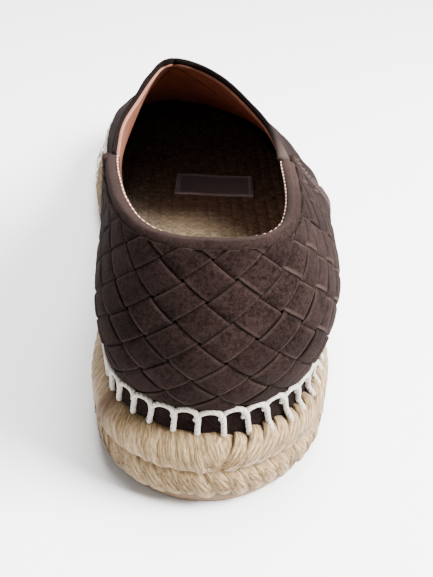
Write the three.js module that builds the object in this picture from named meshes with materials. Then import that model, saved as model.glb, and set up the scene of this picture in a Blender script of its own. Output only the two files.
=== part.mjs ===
// A slip-on espadrille for the right foot, in millimetres: a suede upper with a woven heel piece,
// blanket-stitched to a braided jute sole on a thin rubber outsole.
// +Y points from the heel to the toe, +X to the outer side of the foot and +Z up.
// The origin is on the floor, under the middle of the shoe.
import * as THREE from 'three';

// Driving sizes
const SOLE_LENGTH = 252;
const HEEL_HEIGHT = 23.7; // floor to the top of the jute, at the heel
const TOE_THICKNESS = 15; // the same, in front of the ball of the foot
const TOE_SPRING = 5; // how far the sole's tip stands off the floor
const SPRING_START = 178; // distance from the heel at which the sole starts to rise
const OUTSOLE_THICKNESS = 3;
const OUTSOLE_INSET = 3.4; // the rubber's edge, inside the jute's widest line
const INSOLE_THICKNESS = 3;
const INSOLE_INSET = 7.8; // the insole's edge, inside the jute's widest line
const WALL = 2; // suede and lining of the vamp
const HEEL_PIECE_STEP = 1; // the heel piece lies on the vamp and stands this far out
const WEAVE_DEPTH = 0.9; // crossing strips stand this far out of the gaps between them
const HEM_LIFT = 1.5; // the folded hem along the top of the heel piece
const FOLD_HEIGHT = 7; // the turned-in lower edge of the upper, behind the stitches
const UPPER_INSET = 4.2; // the upper's lower edge, inside the jute's widest line
const YARN = 2.2; // thickness of the stitching yarn
const STITCHES = 88;
const STITCH_WIDTH = 1.9;
const STITCH_SLANT = 1.2; // how much nearer the toe the lower end of a stitch lies
const YARN_BELOW_FOLD = 1.2; // the yarn's line, under the top of the turned-in edge
const STRANDS = 104; // strands of the braid round the sole's side, in each of its two rows
const STRAND_DEPTH = 0.9; // grooves between the strands
const STRAND_SLANT = 5.5; // how far a strand leans along the side, from the middle to an edge
const GAP = 0.3; // between pieces that meet
const LABEL = { width: 30, depth: 20, thickness: 0.8, corner: 1.2, x: 7.4, y: 159, turn: 3.3 };

// Half widths of the sole on each side of the heel's centre line. The turn runs from the back of
// the heel (0) to the tip of the toe (180), at y = SOLE_LENGTH * (1 - cos(turn)) / 2.
const SOLE_SECTIONS = [
  { turn: 0, inner: 0, outer: 0 },
  { turn: 15, inner: 15.2, outer: 14.7 },
  { turn: 30, inner: 26.9, outer: 27.7 },
  { turn: 45, inner: 30.8, outer: 34.2 },
  { turn: 60, inner: 30.6, outer: 36.8 },
  { turn: 75, inner: 29.8, outer: 39.8 },
  { turn: 90, inner: 31, outer: 43 },
  { turn: 105, inner: 36.2, outer: 45.4 },
  { turn: 120, inner: 39.2, outer: 43.4 },
  { turn: 135, inner: 37.4, outer: 35.4 },
  { turn: 150, inner: 30, outer: 24 },
  { turn: 165, inner: 17.8, outer: 10.6 },
  { turn: 180, inner: 3.4, outer: -3.4 },
];
const TURN_STEP = 15;

// Sections of the upper, a row for each, from the back seam to the toe. A section stands on the
// sole at turn, and its top is at y and z. lie is 0 where the top of the wall stands up, as at the
// collar, and 1 where it lies flat over the foot. On each side of the foot, x is the half width at
// the top, swell pushes the wall out low down and spread pushes it out high up.
const SECTION_COLUMNS = ['turn', 'y', 'z', 'lie', 'innerX', 'innerSwell', 'innerSpread', 'outerX',
  'outerSwell', 'outerSpread'];
const UPPER_SECTIONS = [
  [0, 10.2, 75.6, 0, 0, 9, 4, 0, 9, 4],
  [15, 12.2, 75.5, 0, 11.2, 8, 4, 10.6, 9, 4],
  [30, 19.4, 75.2, 0, 18.6, 6.5, 4, 17, 9, 6],
  [45, 32.5, 74.6, 0, 23.6, 5.5, 4, 20, 10, 9],
  [58, 46, 74, 0, 26, 5, 4, 21.2, 10, 13],
  [71, 58, 73.4, 0, 27.2, 6, 4, 21.6, 10, 16],
  [83, 70, 73, 0, 27.4, 6, 4, 21.8, 11, 19],
  [89, 88, 73.6, 0, 26.4, 6, 5, 19.4, 9, 15],
  [94, 105, 75.8, 0.2, 21.8, 5, 5, 13, 5, 9],
  [98, 116, 78, 0.5, 18.2, 4, 5, 6.6, 2, 6],
  [101, 123.6, 79.9, 0.8, 14.6, 3, 5, -1.6, 0, 5],
  [104, 126.5, 80.4, 1, 10, 2, 5, -10, -1, 5],
  [112, 143, 69.6, 1, 10, 1, 5, -10, -1, 6],
  [121, 161, 58.4, 1, 10, 1, 6, -10, 0, 7],
  [132, 181, 48.4, 1, 9.4, 1, 7, -9.4, 1, 8],
  [146, 201, 41.2, 1, 8.4, 1, 7, -8.4, 2, 8],
  [162, 214, 37.4, 1, 7, 1, 7, -7, 2, 8],
  [180, 220, 36, 1, 6, 2, 8, -6, 2, 8],
].map((row) => Object.fromEntries(row.map((value, i) => [SECTION_COLUMNS[i], value])));
const HEEL_PIECE_END = 6; // the row of UPPER_SECTIONS at the heel piece's front edge
const THROAT = 11; // the row at the front of the opening

// The braid on its side, from the bottom edge of the jute to its top: how far out it stands, and how
// deep the grooves between its strands are there, as a share of STRAND_DEPTH.
const BRAID_ROWS = [
  { height: 0, out: -3.6, groove: 0, lean: 1 },
  { height: 0.14, out: -1.5, groove: 0.6, lean: 0.72 },
  { height: 0.32, out: -0.2, groove: 1, lean: 0.36 },
  { height: 0.5, out: -1.5, groove: 0.5, lean: 0 },
  { height: 0.66, out: 0, groove: 1, lean: 0.32 },
  { height: 0.84, out: 0, groove: 1, lean: 0.68 },
  { height: 0.95, out: -0.6, groove: 0.6, lean: 0.9 },
  { height: 1, out: -2.2, groove: 0, lean: 1 },
];

const degrees = (angle) => (angle * Math.PI) / 180;
const mix = (a, b, share) => a + (b - a) * share;

function smoothStep(low, high, value) {
  const share = Math.min(1, Math.max(0, (value - low) / (high - low)));
  return share * share * (3 - 2 * share);
}

// A smooth curve through evenly spaced values, read at a place between them.
function through(values, place, valueAt) {
  const last = values.length - 1;
  const index = Math.min(last - 1, Math.max(0, Math.floor(place)));
  const f = place - index;
  const [a, b, c, d] = [-1, 0, 1, 2].map((step) => valueAt(index + step, last));
  return b + 0.5 * f * (c - a + f * (2 * a - 5 * b + 4 * c - d + f * (3 * (b - c) + d - a)));
}

// The sole's half width at a turn. A negative turn is the inner side, where x is negative.
// Beyond the heel and the toe the table goes on round the other side.
function soleX(turn) {
  const side = turn < 0 ? 'inner' : 'outer';
  const other = turn < 0 ? 'outer' : 'inner';
  const sign = turn < 0 ? -1 : 1;
  const halfWidth = (index, last) => {
    if (index < 0) return -SOLE_SECTIONS[-index][other];
    if (index > last) return -SOLE_SECTIONS[2 * last - index][other];
    return SOLE_SECTIONS[index][side];
  };
  return sign * through(SOLE_SECTIONS, Math.abs(turn) / TURN_STEP, halfWidth);
}

const soleY = (turn) => (SOLE_LENGTH * (1 - Math.cos(degrees(turn)))) / 2;

// A point of the sole's outline, moved outwards by out.
function outline(turn, out = 0) {
  const step = 0.05;
  const wrap = (angle) => ((((angle + 180) % 360) + 360) % 360) - 180;
  const [before, after] = [wrap(turn - step), wrap(turn + step)];
  const along = new THREE.Vector2(soleX(after) - soleX(before), soleY(after) - soleY(before));
  along.normalize();
  const at = wrap(turn);
  return new THREE.Vector2(soleX(at) + along.y * out, soleY(at) - along.x * out);
}

// Heights of the sole: the floor side rises at the toe, and the jute thins towards the toe.
const soleBottom = (y) =>
  TOE_SPRING * Math.max(0, (y - SPRING_START) / (SOLE_LENGTH - SPRING_START)) ** 2;
const soleTop = (y) =>
  soleBottom(y) + mix(HEEL_HEIGHT, TOE_THICKNESS, smoothStep(0.15, 0.72, y / SOLE_LENGTH));

// Turns spaced evenly along the outline, from the back of the heel round by the outer side.
function evenTurns(count, out = 0) {
  const samples = 1440;
  const turns = Array.from({ length: samples + 1 }, (_, i) => (i * 360) / samples);
  const points = turns.map((turn) => outline(turn, out));
  const run = [0];
  for (let i = 1; i <= samples; i += 1) run.push(run[i - 1] + points[i].distanceTo(points[i - 1]));
  const total = run[samples];
  const turnAt = (distance) => {
    const wanted = ((distance % total) + total) % total;
    const next = run.findIndex((value) => value > wanted);
    const share = (wanted - run[next - 1]) / (run[next] - run[next - 1]);
    return mix(turns[next - 1], turns[next], share);
  };
  return { total, turnAt, turns: Array.from({ length: count }, (_, i) => turnAt((i * total) / count)) };
}

function solid(name, positions, faces, material) {
  const geometry = new THREE.BufferGeometry();
  geometry.setAttribute('position', new THREE.Float32BufferAttribute(positions.flat(), 3));
  geometry.setIndex(faces.flat());
  const mesh = new THREE.Mesh(geometry, material);
  mesh.name = name;
  return mesh;
}

// A slab whose side is a stack of closed rings, from the bottom ring to the top one. Its two flat
// sides are ladders between the points of a ring that lie across from each other.
function ringSlab(name, rings, material) {
  const count = rings[0].length;
  const positions = rings.flat();
  const faces = [];
  for (let r = 0; r + 1 < rings.length; r += 1) {
    for (let i = 0; i < count; i += 1) {
      const [a, b] = [r * count + i, r * count + ((i + 1) % count)];
      faces.push([a, b, b + count], [a, b + count, a + count]);
    }
  }
  const top = (rings.length - 1) * count;
  for (let i = 0; i < count / 2; i += 1) {
    const [a, b, c, d] = [i, i + 1, count - i - 1, (count - i) % count];
    if (a !== d) {
      faces.push([a, d, c], [top + a, top + c, top + d]);
    }
    if (b !== c) {
      faces.push([a, c, b], [top + a, top + b, top + c]);
    }
  }
  return solid(name, positions, faces, material);
}

// The rubber outsole, with a small bevel round its lower edge.
function rubberOutsole(material) {
  const columns = 96;
  const bevel = 0.8;
  const { turns } = evenTurns(columns);
  const ring = (inset, lift) =>
    turns.map((turn) => {
      const p = outline(turn, -inset);
      return [p.x, p.y, soleBottom(p.y) + lift];
    });
  const rings = [
    ring(OUTSOLE_INSET + bevel, 0),
    ring(OUTSOLE_INSET, bevel),
    ring(OUTSOLE_INSET, OUTSOLE_THICKNESS),
  ];
  return ringSlab('rubber_outsole', rings, material);
}

// The jute sole. Round its side runs a braid, whose strands lean one way above its middle and the
// same way below it, so that each pair makes an arrow.
function juteSole(material) {
  const { total, turnAt } = evenTurns(1);
  const columns = 2 * STRANDS;
  const rings = BRAID_ROWS.map((row) =>
    Array.from({ length: columns }, (_, i) => {
      const turn = turnAt((i * total) / columns + STRAND_SLANT * row.lean);
      const groove = i % 2 ? STRAND_DEPTH * row.groove : 0;
      const p = outline(turn, row.out - groove);
      const low = soleBottom(p.y) + OUTSOLE_THICKNESS + GAP;
      return [p.x, p.y, mix(low, soleTop(p.y), row.height)];
    }),
  );
  return ringSlab('jute_sole', rings, material);
}

// The insole, which lies on the jute inside the upper.
function insole(material) {
  const columns = 72;
  const { turns } = evenTurns(columns);
  const ring = (extra, lift) =>
    turns.map((turn) => {
      const p = outline(turn, -INSOLE_INSET - extra);
      return [p.x, p.y, soleTop(p.y) + GAP + lift];
    });
  const rings = [ring(0.6, 0), ring(0, 0.8), ring(0, INSOLE_THICKNESS - 0.8), ring(1, INSOLE_THICKNESS)];
  return ringSlab('insole', rings, material);
}

// The upper at a place in the table of sections, between its rows. Beyond the back seam and the
// toe the table goes on round the other side.
function sectionAt(place, side) {
  const opposite = side === 'inner' ? 'outer' : 'inner';
  const value = (name) => {
    const valueAt = (index, last) => {
      if (index >= 0 && index <= last) return UPPER_SECTIONS[index][name];
      const mirror = UPPER_SECTIONS[index < 0 ? -index : 2 * last - index];
      if (name === 'turn') return index < 0 ? -mirror.turn : 360 - mirror.turn;
      return name === `${side}X` ? -mirror[`${opposite}X`] : mirror[name.replace(side, opposite)];
    };
    return through(UPPER_SECTIONS, place, valueAt);
  };
  const sign = side === 'inner' ? -1 : 1;
  const turn = sign * Math.min(180, value('turn'));
  const foot = outline(turn, -UPPER_INSET);
  const outer = outline(turn, 0);
  return {
    foot: new THREE.Vector3(foot.x, foot.y, soleTop(foot.y) + GAP),
    outwards: new THREE.Vector3(outer.x - foot.x, outer.y - foot.y, 0).normalize(),
    top: new THREE.Vector3(sign * value(`${side}X`), value('y'), value('z')),
    swell: value(`${side}Swell`),
    spread: value(`${side}Spread`),
    lie: Math.min(1, Math.max(0, value('lie'))),
  };
}

// The slope of the vamp's middle line, which its sections follow where they lie flat.
function ridgeSlope(place) {
  const step = 0.25;
  const [low, high] = [Math.max(THROAT, place - step), Math.min(UPPER_SECTIONS.length - 1, place + step)];
  const [a, b] = [sectionAt(low, 'outer').top, sectionAt(high, 'outer').top];
  return (b.z - a.z) / (b.y - a.y);
}

// Heights of the shoulder of a section, as shares of its own height, where its top stands and
// where it lies. Over the toes the shoe is lower on its outer side.
const STANDING_SHOULDER = 0.4;
const LYING_SHOULDER = { inner: 0.36, outer: 0.28 };

// One section of the upper above its turned-in edge, as a curve up to its top.
function sectionCurve(place, side) {
  const { foot, outwards, top, swell, spread, lie } = sectionAt(place, side);
  foot.z += FOLD_HEIGHT;
  const height = top.z - foot.z;
  const across = new THREE.Vector3(foot.x - top.x, foot.y - top.y, 0).normalize();
  const low = foot.clone().addScaledVector(outwards, swell);
  low.z += height * mix(STANDING_SHOULDER, LYING_SHOULDER[side], lie);
  const standing = across.clone().multiplyScalar(spread);
  standing.z -= 0.3 * height;
  const slope = ridgeSlope(Math.max(THROAT, place));
  const flat = new THREE.Vector3(across.x, across.y, across.y * slope).multiplyScalar(spread);
  return new THREE.CubicBezierCurve3(foot, low, standing.lerp(flat, lie).add(top), top);
}

// Places of the upper's columns: fine in the heel piece, whose woven strips they follow, with a
// narrow pair at its front edge for the step down to the vamp, and wider in the vamp.
const WEAVE_COLUMNS = 26;
const THROAT_COLUMNS = 11;
const VAMP_COLUMNS = 12;
const STEP_WIDTH = 0.06;
const COLUMN_PLACES = [
  ...Array.from({ length: WEAVE_COLUMNS }, (_, i) => (i * HEEL_PIECE_END) / WEAVE_COLUMNS),
  HEEL_PIECE_END,
  ...Array.from({ length: THROAT_COLUMNS }, (_, i) =>
    mix(HEEL_PIECE_END + STEP_WIDTH, THROAT, i / THROAT_COLUMNS),
  ),
  ...Array.from({ length: VAMP_COLUMNS + 1 }, (_, i) =>
    mix(THROAT, UPPER_SECTIONS.length - 1, i / VAMP_COLUMNS),
  ),
];
const THROAT_COLUMN = WEAVE_COLUMNS + 1 + THROAT_COLUMNS;

// Rows of the upper above its turned-in edge, as shares of a section's length: the woven field
// and the hem.
const WEAVE_ROWS = 13;
const HEM_SHARE = 0.86;
const ROW_SHARES = [
  ...Array.from({ length: WEAVE_ROWS + 1 }, (_, j) => (HEM_SHARE * j) / WEAVE_ROWS),
  HEM_SHARE + 0.01,
  1,
];

const STRIP = 4; // columns and rows to a crossing

// How far the woven strips stand out at a column and row. Two sets of strips cross at right
// angles and take turns to lie on top.
function weaveLift(column, row) {
  const [p, q] = [(column + row) / STRIP, (column - row) / STRIP];
  const [cellP, cellQ] = [Math.floor(p), Math.floor(q)];
  const [along, across] = (cellP + cellQ) % 2 ? [q - cellQ, p - cellP] : [p - cellP, q - cellQ];
  if (along === 0 || across === 0) return 0;
  return WEAVE_DEPTH * (1 - 0.5 * (2 * along - 1) ** 2);
}

// How far the upper's outside stands out of the vamp's surface.
function upperLift(column, row) {
  const inHeelPiece = column <= WEAVE_COLUMNS;
  if (!inHeelPiece) return 0;
  if (row === 0) return 0.4;
  if (row > WEAVE_ROWS + 1) return HEM_LIFT;
  const onEdge = column === WEAVE_COLUMNS || row === 1 || row === WEAVE_ROWS + 1;
  return HEEL_PIECE_STEP + (onEdge ? 0 : weaveLift(column, row));
}

// The upper: one wall, open at the collar and underneath. Its outside is a grid of columns and
// rows on each side of the foot. The two sides share the back seam, the toe and, in front of the
// throat, the middle line of the vamp. The lining has every second row and column.
function upper(material) {
  const lastColumn = COLUMN_PLACES.length - 1;
  const lastRow = ROW_SHARES.length;
  const surface = [];
  const index = new Map();
  const key = (side, column, row) => {
    const shared = column === 0 || column === lastColumn || (row === lastRow && column >= THROAT_COLUMN);
    return `${shared ? 'both' : side},${column},${row}`;
  };
  for (const side of ['inner', 'outer']) {
    COLUMN_PLACES.forEach((place, column) => {
      const curve = sectionCurve(place, side);
      curve.arcLengthDivisions = 60;
      const points = ROW_SHARES.map((share) => curve.getPointAt(share));
      points.unshift(points[0].clone().setZ(points[0].z - FOLD_HEIGHT));
      points.forEach((at, row) => {
        const id = key(side, column, row);
        if (index.has(id)) return;
        index.set(id, surface.length);
        surface.push({ at, column, row });
      });
    });
  }
  const at = (side, column, row) => index.get(key(side, column, row));

  // Outward normals of the vamp's surface, shared where the two sides meet.
  const quads = [];
  for (const side of ['inner', 'outer']) {
    for (let c = 0; c < lastColumn; c += 1) {
      for (let r = 0; r < lastRow; r += 1) {
        const corners = [at(side, c, r), at(side, c + 1, r), at(side, c + 1, r + 1), at(side, c, r + 1)];
        if (side === 'inner') corners.reverse();
        // Each pair of triangles folds along a gap of the weave, where one crosses it.
        const turned = (c + r + 1) % STRIP === 0;
        if (turned !== (side === 'inner')) corners.push(corners.shift());
        quads.push(corners);
      }
    }
  }
  const sheet = solid('sheet', surface.map(({ at: p }) => p.toArray()),
    quads.flatMap(([a, b, d, e]) => [[a, b, d], [a, d, e]]), material);
  sheet.geometry.computeVertexNormals();
  const normals = sheet.geometry.getAttribute('normal');
  const moved = (id, distance) => {
    const normal = new THREE.Vector3().fromBufferAttribute(normals, id);
    return surface[id].at.clone().addScaledVector(normal, distance).toArray();
  };

  const positions = surface.map(({ column, row }, id) => moved(id, upperLift(column, row)));
  const faces = quads.flatMap(([a, b, d, e]) => [[a, b, d], [a, d, e]]);
  const lining = new Map();
  const inside = (id) => {
    if (!lining.has(id)) {
      lining.set(id, positions.length);
      positions.push(moved(id, -WALL));
    }
    return lining.get(id);
  };

  const everySecond = (last, kept) =>
    Array.from({ length: last + 1 }, (_, i) => i).filter((i) => kept.includes(i) || i === last || i % 2 === 0);
  const liningColumns = everySecond(lastColumn, [THROAT_COLUMN]);
  const liningRows = everySecond(lastRow, []);
  for (const side of ['inner', 'outer']) {
    const push = (a, b, c) => faces.push(side === 'outer' ? [a, b, c] : [a, c, b]);
    for (let m = 0; m + 1 < liningColumns.length; m += 1) {
      const [c, next] = [liningColumns[m], liningColumns[m + 1]];
      for (let n = 0; n + 1 < liningRows.length; n += 1) {
        const [r, above] = [liningRows[n], liningRows[n + 1]];
        const [a, b, d, e] = [at(side, c, r), at(side, next, r), at(side, next, above), at(side, c, above)].map(inside);
        push(a, d, b);
        push(a, e, d);
      }
      // The wall's lower edge, and its edge at the collar.
      const rim = (row, flip) => {
        const add = (p, q, s) => (flip ? push(p, s, q) : push(p, q, s));
        const [from, to] = [inside(at(side, c, row)), inside(at(side, next, row))];
        for (let k = c; k < next; k += 1) add(from, at(side, k + 1, row), at(side, k, row));
        add(from, to, at(side, next, row));
      };
      rim(0, false);
      if (next <= THROAT_COLUMN) rim(lastRow, true);
    }
  }
  return solid('upper', positions, faces, material);
}

// The thick yarn that holds the upper to the sole: a six-sided line round the upper, and a stitch
// down from it to the sole every few millimetres.
function stitchYarn(material) {
  const radius = YARN / 2;
  const { turnAt, total } = evenTurns(1);
  const heelPieceTurn = UPPER_SECTIONS[HEEL_PIECE_END].turn;
  const pointAt = (distance, out, lift) => {
    const turn = turnAt(distance);
    const fromHeel = Math.min(turn, 360 - turn);
    const step = HEEL_PIECE_STEP * (1 - smoothStep(heelPieceTurn, heelPieceTurn + 6, fromHeel));
    const p = outline(turn, step + GAP + radius + out - UPPER_INSET);
    return [p.x, p.y, soleTop(p.y) + GAP + lift];
  };

  // Each edge of a stitch has the line's section there, and the two lower corners of the stitch.
  const section = [0, 60, 120, 180, 240, 300].map(degrees).map((angle) => ({
    out: radius * Math.cos(angle),
    up: radius * Math.sin(angle),
  }));
  const line = [0, 1, 2, 3, 4, 5];
  const stitch = [4, 6, 7, 5];
  const lineHeight = FOLD_HEIGHT - YARN_BELOW_FOLD;
  const perEdge = section.length + 2;
  const edges = 2 * STITCHES;
  const positions = [];
  const faces = [];
  for (let edge = 0; edge < edges; edge += 1) {
    const opens = edge % 2 === 0;
    const middle = ((Math.floor(edge / 2) + 0.5) * total) / STITCHES;
    const distance = middle + (opens ? -0.5 : 0.5) * STITCH_WIDTH;
    const slant = middle < total / 2 ? STITCH_SLANT : -STITCH_SLANT;
    section.forEach(({ out, up }) => positions.push(pointAt(distance, out, lineHeight + up)));
    positions.push(pointAt(distance + slant, section[4].out, 0));
    positions.push(pointAt(distance + slant, section[5].out, 0));

    const here = edge * perEdge;
    const next = ((edge + 1) % edges) * perEdge;
    const loop = opens ? [0, 1, 2, 3, ...stitch] : line;
    loop.forEach((k, i) => {
      const above = loop[(i + 1) % loop.length];
      faces.push([here + k, next + k, next + above], [here + k, next + above, here + above]);
    });
    const [a, b, c, d] = stitch.map((k) => here + k);
    faces.push(...(opens ? [[a, b, c], [a, c, d]] : [[a, c, b], [a, d, c]]));
  }
  return solid('stitch_yarn', positions, faces, material);
}

// The blank woven label on the insole.
function insoleLabel(material) {
  const { width, depth, thickness, corner, x, y, turn } = LABEL;
  const [right, back] = [width / 2 - corner, depth / 2 - corner];
  const shape = new THREE.Shape();
  shape.absarc(right, -back, corner, -Math.PI / 2, 0);
  shape.absarc(right, back, corner, 0, Math.PI / 2);
  shape.absarc(-right, back, corner, Math.PI / 2, Math.PI);
  shape.absarc(-right, -back, corner, Math.PI, 1.5 * Math.PI);
  const flat = { depth: thickness, bevelEnabled: false, curveSegments: 3 };
  const mesh = new THREE.Mesh(new THREE.ExtrudeGeometry(shape, flat), material);
  mesh.name = 'insole_label';
  const rise = soleTop(y + depth / 2) - soleTop(y - depth / 2);
  mesh.rotation.set(Math.atan2(rise, depth), 0, degrees(turn));
  mesh.position.set(x, y, soleTop(y) + INSOLE_THICKNESS + 2 * GAP);
  return mesh;
}

const colour = (hex, roughness) =>
  new THREE.MeshStandardMaterial({ color: hex, roughness, metalness: 0 });
const SUEDE = colour('#4a3836', 0.95);
const JUTE = colour('#cdb48c', 0.9);
const RUBBER = colour('#8a6f55', 0.7);
const INSOLE_JUTE = colour('#a8986f', 0.95);
const YARN_WHITE = colour('#e8e4da', 0.9);
const LABEL_GREY = colour('#8d8a8c', 0.8);

const shoe = new THREE.Group();
shoe.add(rubberOutsole(RUBBER));
shoe.add(juteSole(JUTE));
shoe.add(insole(INSOLE_JUTE));
shoe.add(upper(SUEDE));
shoe.add(stitchYarn(YARN_WHITE));
shoe.add(insoleLabel(LABEL_GREY));

const box = new THREE.Box3().setFromObject(shoe);
shoe.position.set(-(box.min.x + box.max.x) / 2, -(box.min.y + box.max.y) / 2, 0);

export default shoe;
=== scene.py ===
"""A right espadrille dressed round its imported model.

Every surface is worked out with numpy as a grid over two parameters, in millimetres, and put
into a mesh in metres. The sole is read by a turn round its outline, and the upper by a place
along its sections and a share of a section's length, as the solids are.
"""

import math

import bmesh
import bpy
import numpy as np
from mathutils import Matrix, Vector


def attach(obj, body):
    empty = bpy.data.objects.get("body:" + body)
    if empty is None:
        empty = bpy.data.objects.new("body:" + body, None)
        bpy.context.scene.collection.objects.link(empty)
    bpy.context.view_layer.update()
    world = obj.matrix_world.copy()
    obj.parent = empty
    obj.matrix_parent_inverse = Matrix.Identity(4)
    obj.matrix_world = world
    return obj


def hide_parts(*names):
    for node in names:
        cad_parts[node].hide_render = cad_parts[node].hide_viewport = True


MM = 0.001
ROUND = 6.28  # a whole turn, for the starts of random waves

# The sole, from the heel's back at y = 0
HEEL_POINT = (-3.083, -125.434)  # where the middle of the heel's back lies in the frame
SOLE_LENGTH = 252
HEEL_HEIGHT = 23.7
TOE_THICKNESS = 15
TOE_SPRING = 5
SPRING_START = 178
OUTSOLE_THICKNESS = 3
OUTSOLE_INSET = 2.8
INSOLE_THICKNESS = 3
INSOLE_INSET = 7.0
GAP = 0.3
TURN_STEP = 15
INNER_HALF = np.array([0, 15.2, 26.9, 30.8, 30.6, 29.8, 31, 36.2, 39.2, 37.4, 30, 17.8, 3.4])
OUTER_HALF = np.array([0, 14.7, 27.7, 34.2, 36.8, 39.8, 43, 45.4, 43.4, 35.4, 24, 10.6, -3.4])

# The upper
WALL = 2
UPPER_INSET = 4.2  # from the sole's outline in to the wall's foot
FOLD_HEIGHT = 8.2  # of the fold's top over the jute
HEEL_PIECE_END = 6  # the place where the heel piece reaches furthest forward
VAMP_START = 5.0
HEEL_CORNER = 5.6  # where the piece's front edge meets the hem
THROAT = 11  # the place where the two sides of the vamp meet
STANDING_SHOULDER = 0.4
LYING_SHOULDER = {"inner": 0.36, "outer": 0.28}
# A row for each section: turn, y, z, lie, then half width, swell and spread on each side
SECTIONS = np.array([
    [0, 10.2, 75.6, 0, 0, 9, 4, 0, 9, 4],
    [15, 12.2, 75.5, 0, 11.2, 8, 4, 10.6, 9, 4],
    [30, 19.4, 75.2, 0, 18.6, 6.5, 4, 17, 9, 6],
    [45, 32.5, 74.6, 0, 23.6, 5.5, 4, 20, 10, 9],
    [58, 46, 74, 0, 26, 5, 4, 21.2, 10, 13],
    [71, 58, 73.4, 0, 27.2, 6, 4, 21.6, 10, 16],
    [83, 70, 73, 0, 27.4, 6, 4, 21.8, 11, 19],
    [89, 88, 73.6, 0, 26.4, 6, 5, 19.4, 9, 15],
    [94, 105, 75.8, 0.2, 21.8, 5, 5, 13, 5, 9],
    [98, 116, 78, 0.5, 18.2, 4, 5, 6.6, 2, 6],
    [101, 123.6, 79.9, 0.8, 14.6, 3, 5, -1.6, 0, 5],
    [104, 126.5, 80.4, 1, 10, 2, 5, -10, -1, 5],
    [112, 143, 69.6, 1, 10, 1, 5, -10, -1, 6],
    [121, 161, 58.4, 1, 10, 1, 6, -10, 0, 7],
    [132, 181, 48.4, 1, 9.4, 1, 7, -9.4, 1, 8],
    [146, 201, 41.2, 1, 8.4, 1, 7, -8.4, 2, 8],
    [162, 214, 37.4, 1, 7, 1, 7, -7, 2, 8],
    [180, 220, 36, 1, 6, 2, 8, -6, 2, 8],
])
LAST = len(SECTIONS) - 1

# The weave of the heel piece
# The strips that climb to the outer side, and then those that climb to the inner side
STRIP_PITCHES = np.array([7.4, 8.7])
STRIP_ANGLES = np.radians([36.5, -38])
STRIP_FILL = 0.935  # a strip's width, as a share of its pitch
STRIP_THICKNESS = 0.9
STRIP_RISE = 0.55  # half of the way a strip goes up and down
STRIP_STEP = 1.0
STRIP_COUNT = 19  # strips to each side of the middle one
STRIP_REACH = 130  # how far a strip runs each way
WEAVE_BASE = 0.15  # under the lowest strips
HEM_HEIGHT = 3.6

# The stitching yarn and the braid
STITCHES = 88
STITCH_SLANT = 2.2
YARN_BELOW_FOLD = 1.2
STRANDS = 124
SIDE_HEIGHT = 20  # about the height of the jute's side
STAIN_AT = 35  # how far round the inner side from the back


def smooth_step(low, high, value):
    """0 below low, 1 above high, and 3s^2 - 2s^3 of the share s between them."""
    share = np.clip((np.asarray(value, float) - low) / (high - low), 0, 1)
    return share * share * (3 - 2 * share)


def unit(vectors):
    """Each vector divided by its length."""
    return vectors / np.maximum(np.linalg.norm(vectors, axis=-1, keepdims=True), 1e-9)


def spline(a, b, c, d, f):
    """The Catmull-Rom cubic between b and c, at the share f."""
    return b + 0.5 * f * (c - a + f * (2 * a - 5 * b + 4 * c - d + f * (3 * (b - c) + d - a)))


def upright(points):
    """The way straight up, for each point."""
    return np.broadcast_to([0, 0, 1.0], points.shape)


def run_along(points):
    """The length of each path up to each of its points, which lie along the last axis but one."""
    steps = np.linalg.norm(np.diff(points, axis=-2), axis=-1)
    return np.pad(np.cumsum(steps, axis=-1), [(0, 0)] * (steps.ndim - 1) + [(1, 0)])


def spread_rows(table, count):
    """A table read straight between its rows, at count places spread evenly from first to last."""
    places = np.linspace(0, len(table) - 1, count)
    return np.stack([np.interp(places, np.arange(len(table)), column) for column in table.T], -1)


def smoothed(points, times):
    """Each inner point moved half way to the middle of its neighbours, several times."""
    points = points.copy()
    for _ in range(times):
        points[1:-1] = 0.25 * points[:-2] + 0.5 * points[1:-1] + 0.25 * points[2:]
    return points


SIGNED_HALF = np.concatenate([OUTER_HALF, -INNER_HALF[-2:0:-1]])


def sole_point(turn):
    """x is the cubic through the half widths, y is length * (1 - cos(turn)) / 2."""
    place = np.asarray(turn, float) / TURN_STEP
    index = np.floor(place).astype(int)
    rows = [SIGNED_HALF[(index + step) % len(SIGNED_HALF)] for step in (-1, 0, 1, 2)]
    x = spline(*rows, place - index)
    y = SOLE_LENGTH * (1 - np.cos(np.radians(turn))) / 2
    return np.stack([x, y], -1)


def outline(turn, out=0.0):
    """The sole's outline at a turn, moved out along its own normal."""
    turn = np.asarray(turn, float)
    step = 0.05
    along = unit(sole_point(turn + step) - sole_point(turn - step))
    normal = np.stack([along[..., 1], -along[..., 0]], -1)
    return sole_point(turn) + normal * np.asarray(out, float)[..., None]


def sole_bottom(y):
    """The floor side: flat, then rising with the square of the distance in front of the ball."""
    return TOE_SPRING * np.maximum(0, (y - SPRING_START) / (SOLE_LENGTH - SPRING_START)) ** 2


def sole_top(y):
    """The floor side and a thickness that goes smoothly from the heel's to the toe's."""
    share = smooth_step(0.15, 0.72, y / SOLE_LENGTH)
    return sole_bottom(y) + HEEL_HEIGHT + (TOE_THICKNESS - HEEL_HEIGHT) * share


def run_of_outline(samples=2880):
    """The length of the outline up to each of many turns."""
    turns = np.linspace(0, 360, samples + 1)
    return turns, run_along(sole_point(turns))


RUN_TURNS, RUN = run_of_outline()
OUTLINE_LENGTH = RUN[-1]


def turn_at(distance):
    """The turn at a distance along the outline from the heel's back, by the outer side."""
    wanted = np.mod(distance, OUTLINE_LENGTH)
    return np.interp(wanted, RUN, RUN_TURNS)


def ring_points(distance, out, z_above_bottom=None, z_above_top=None):
    """Points beside the outline, at a height over the sole's floor side or over its top."""
    plan = outline(turn_at(distance), out)
    if z_above_top is None:
        z = sole_bottom(plan[..., 1]) + z_above_bottom
    else:
        z = sole_top(plan[..., 1]) + z_above_top
    return np.concatenate([plan, np.broadcast_to(z, plan.shape[:-1])[..., None]], -1)


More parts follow.
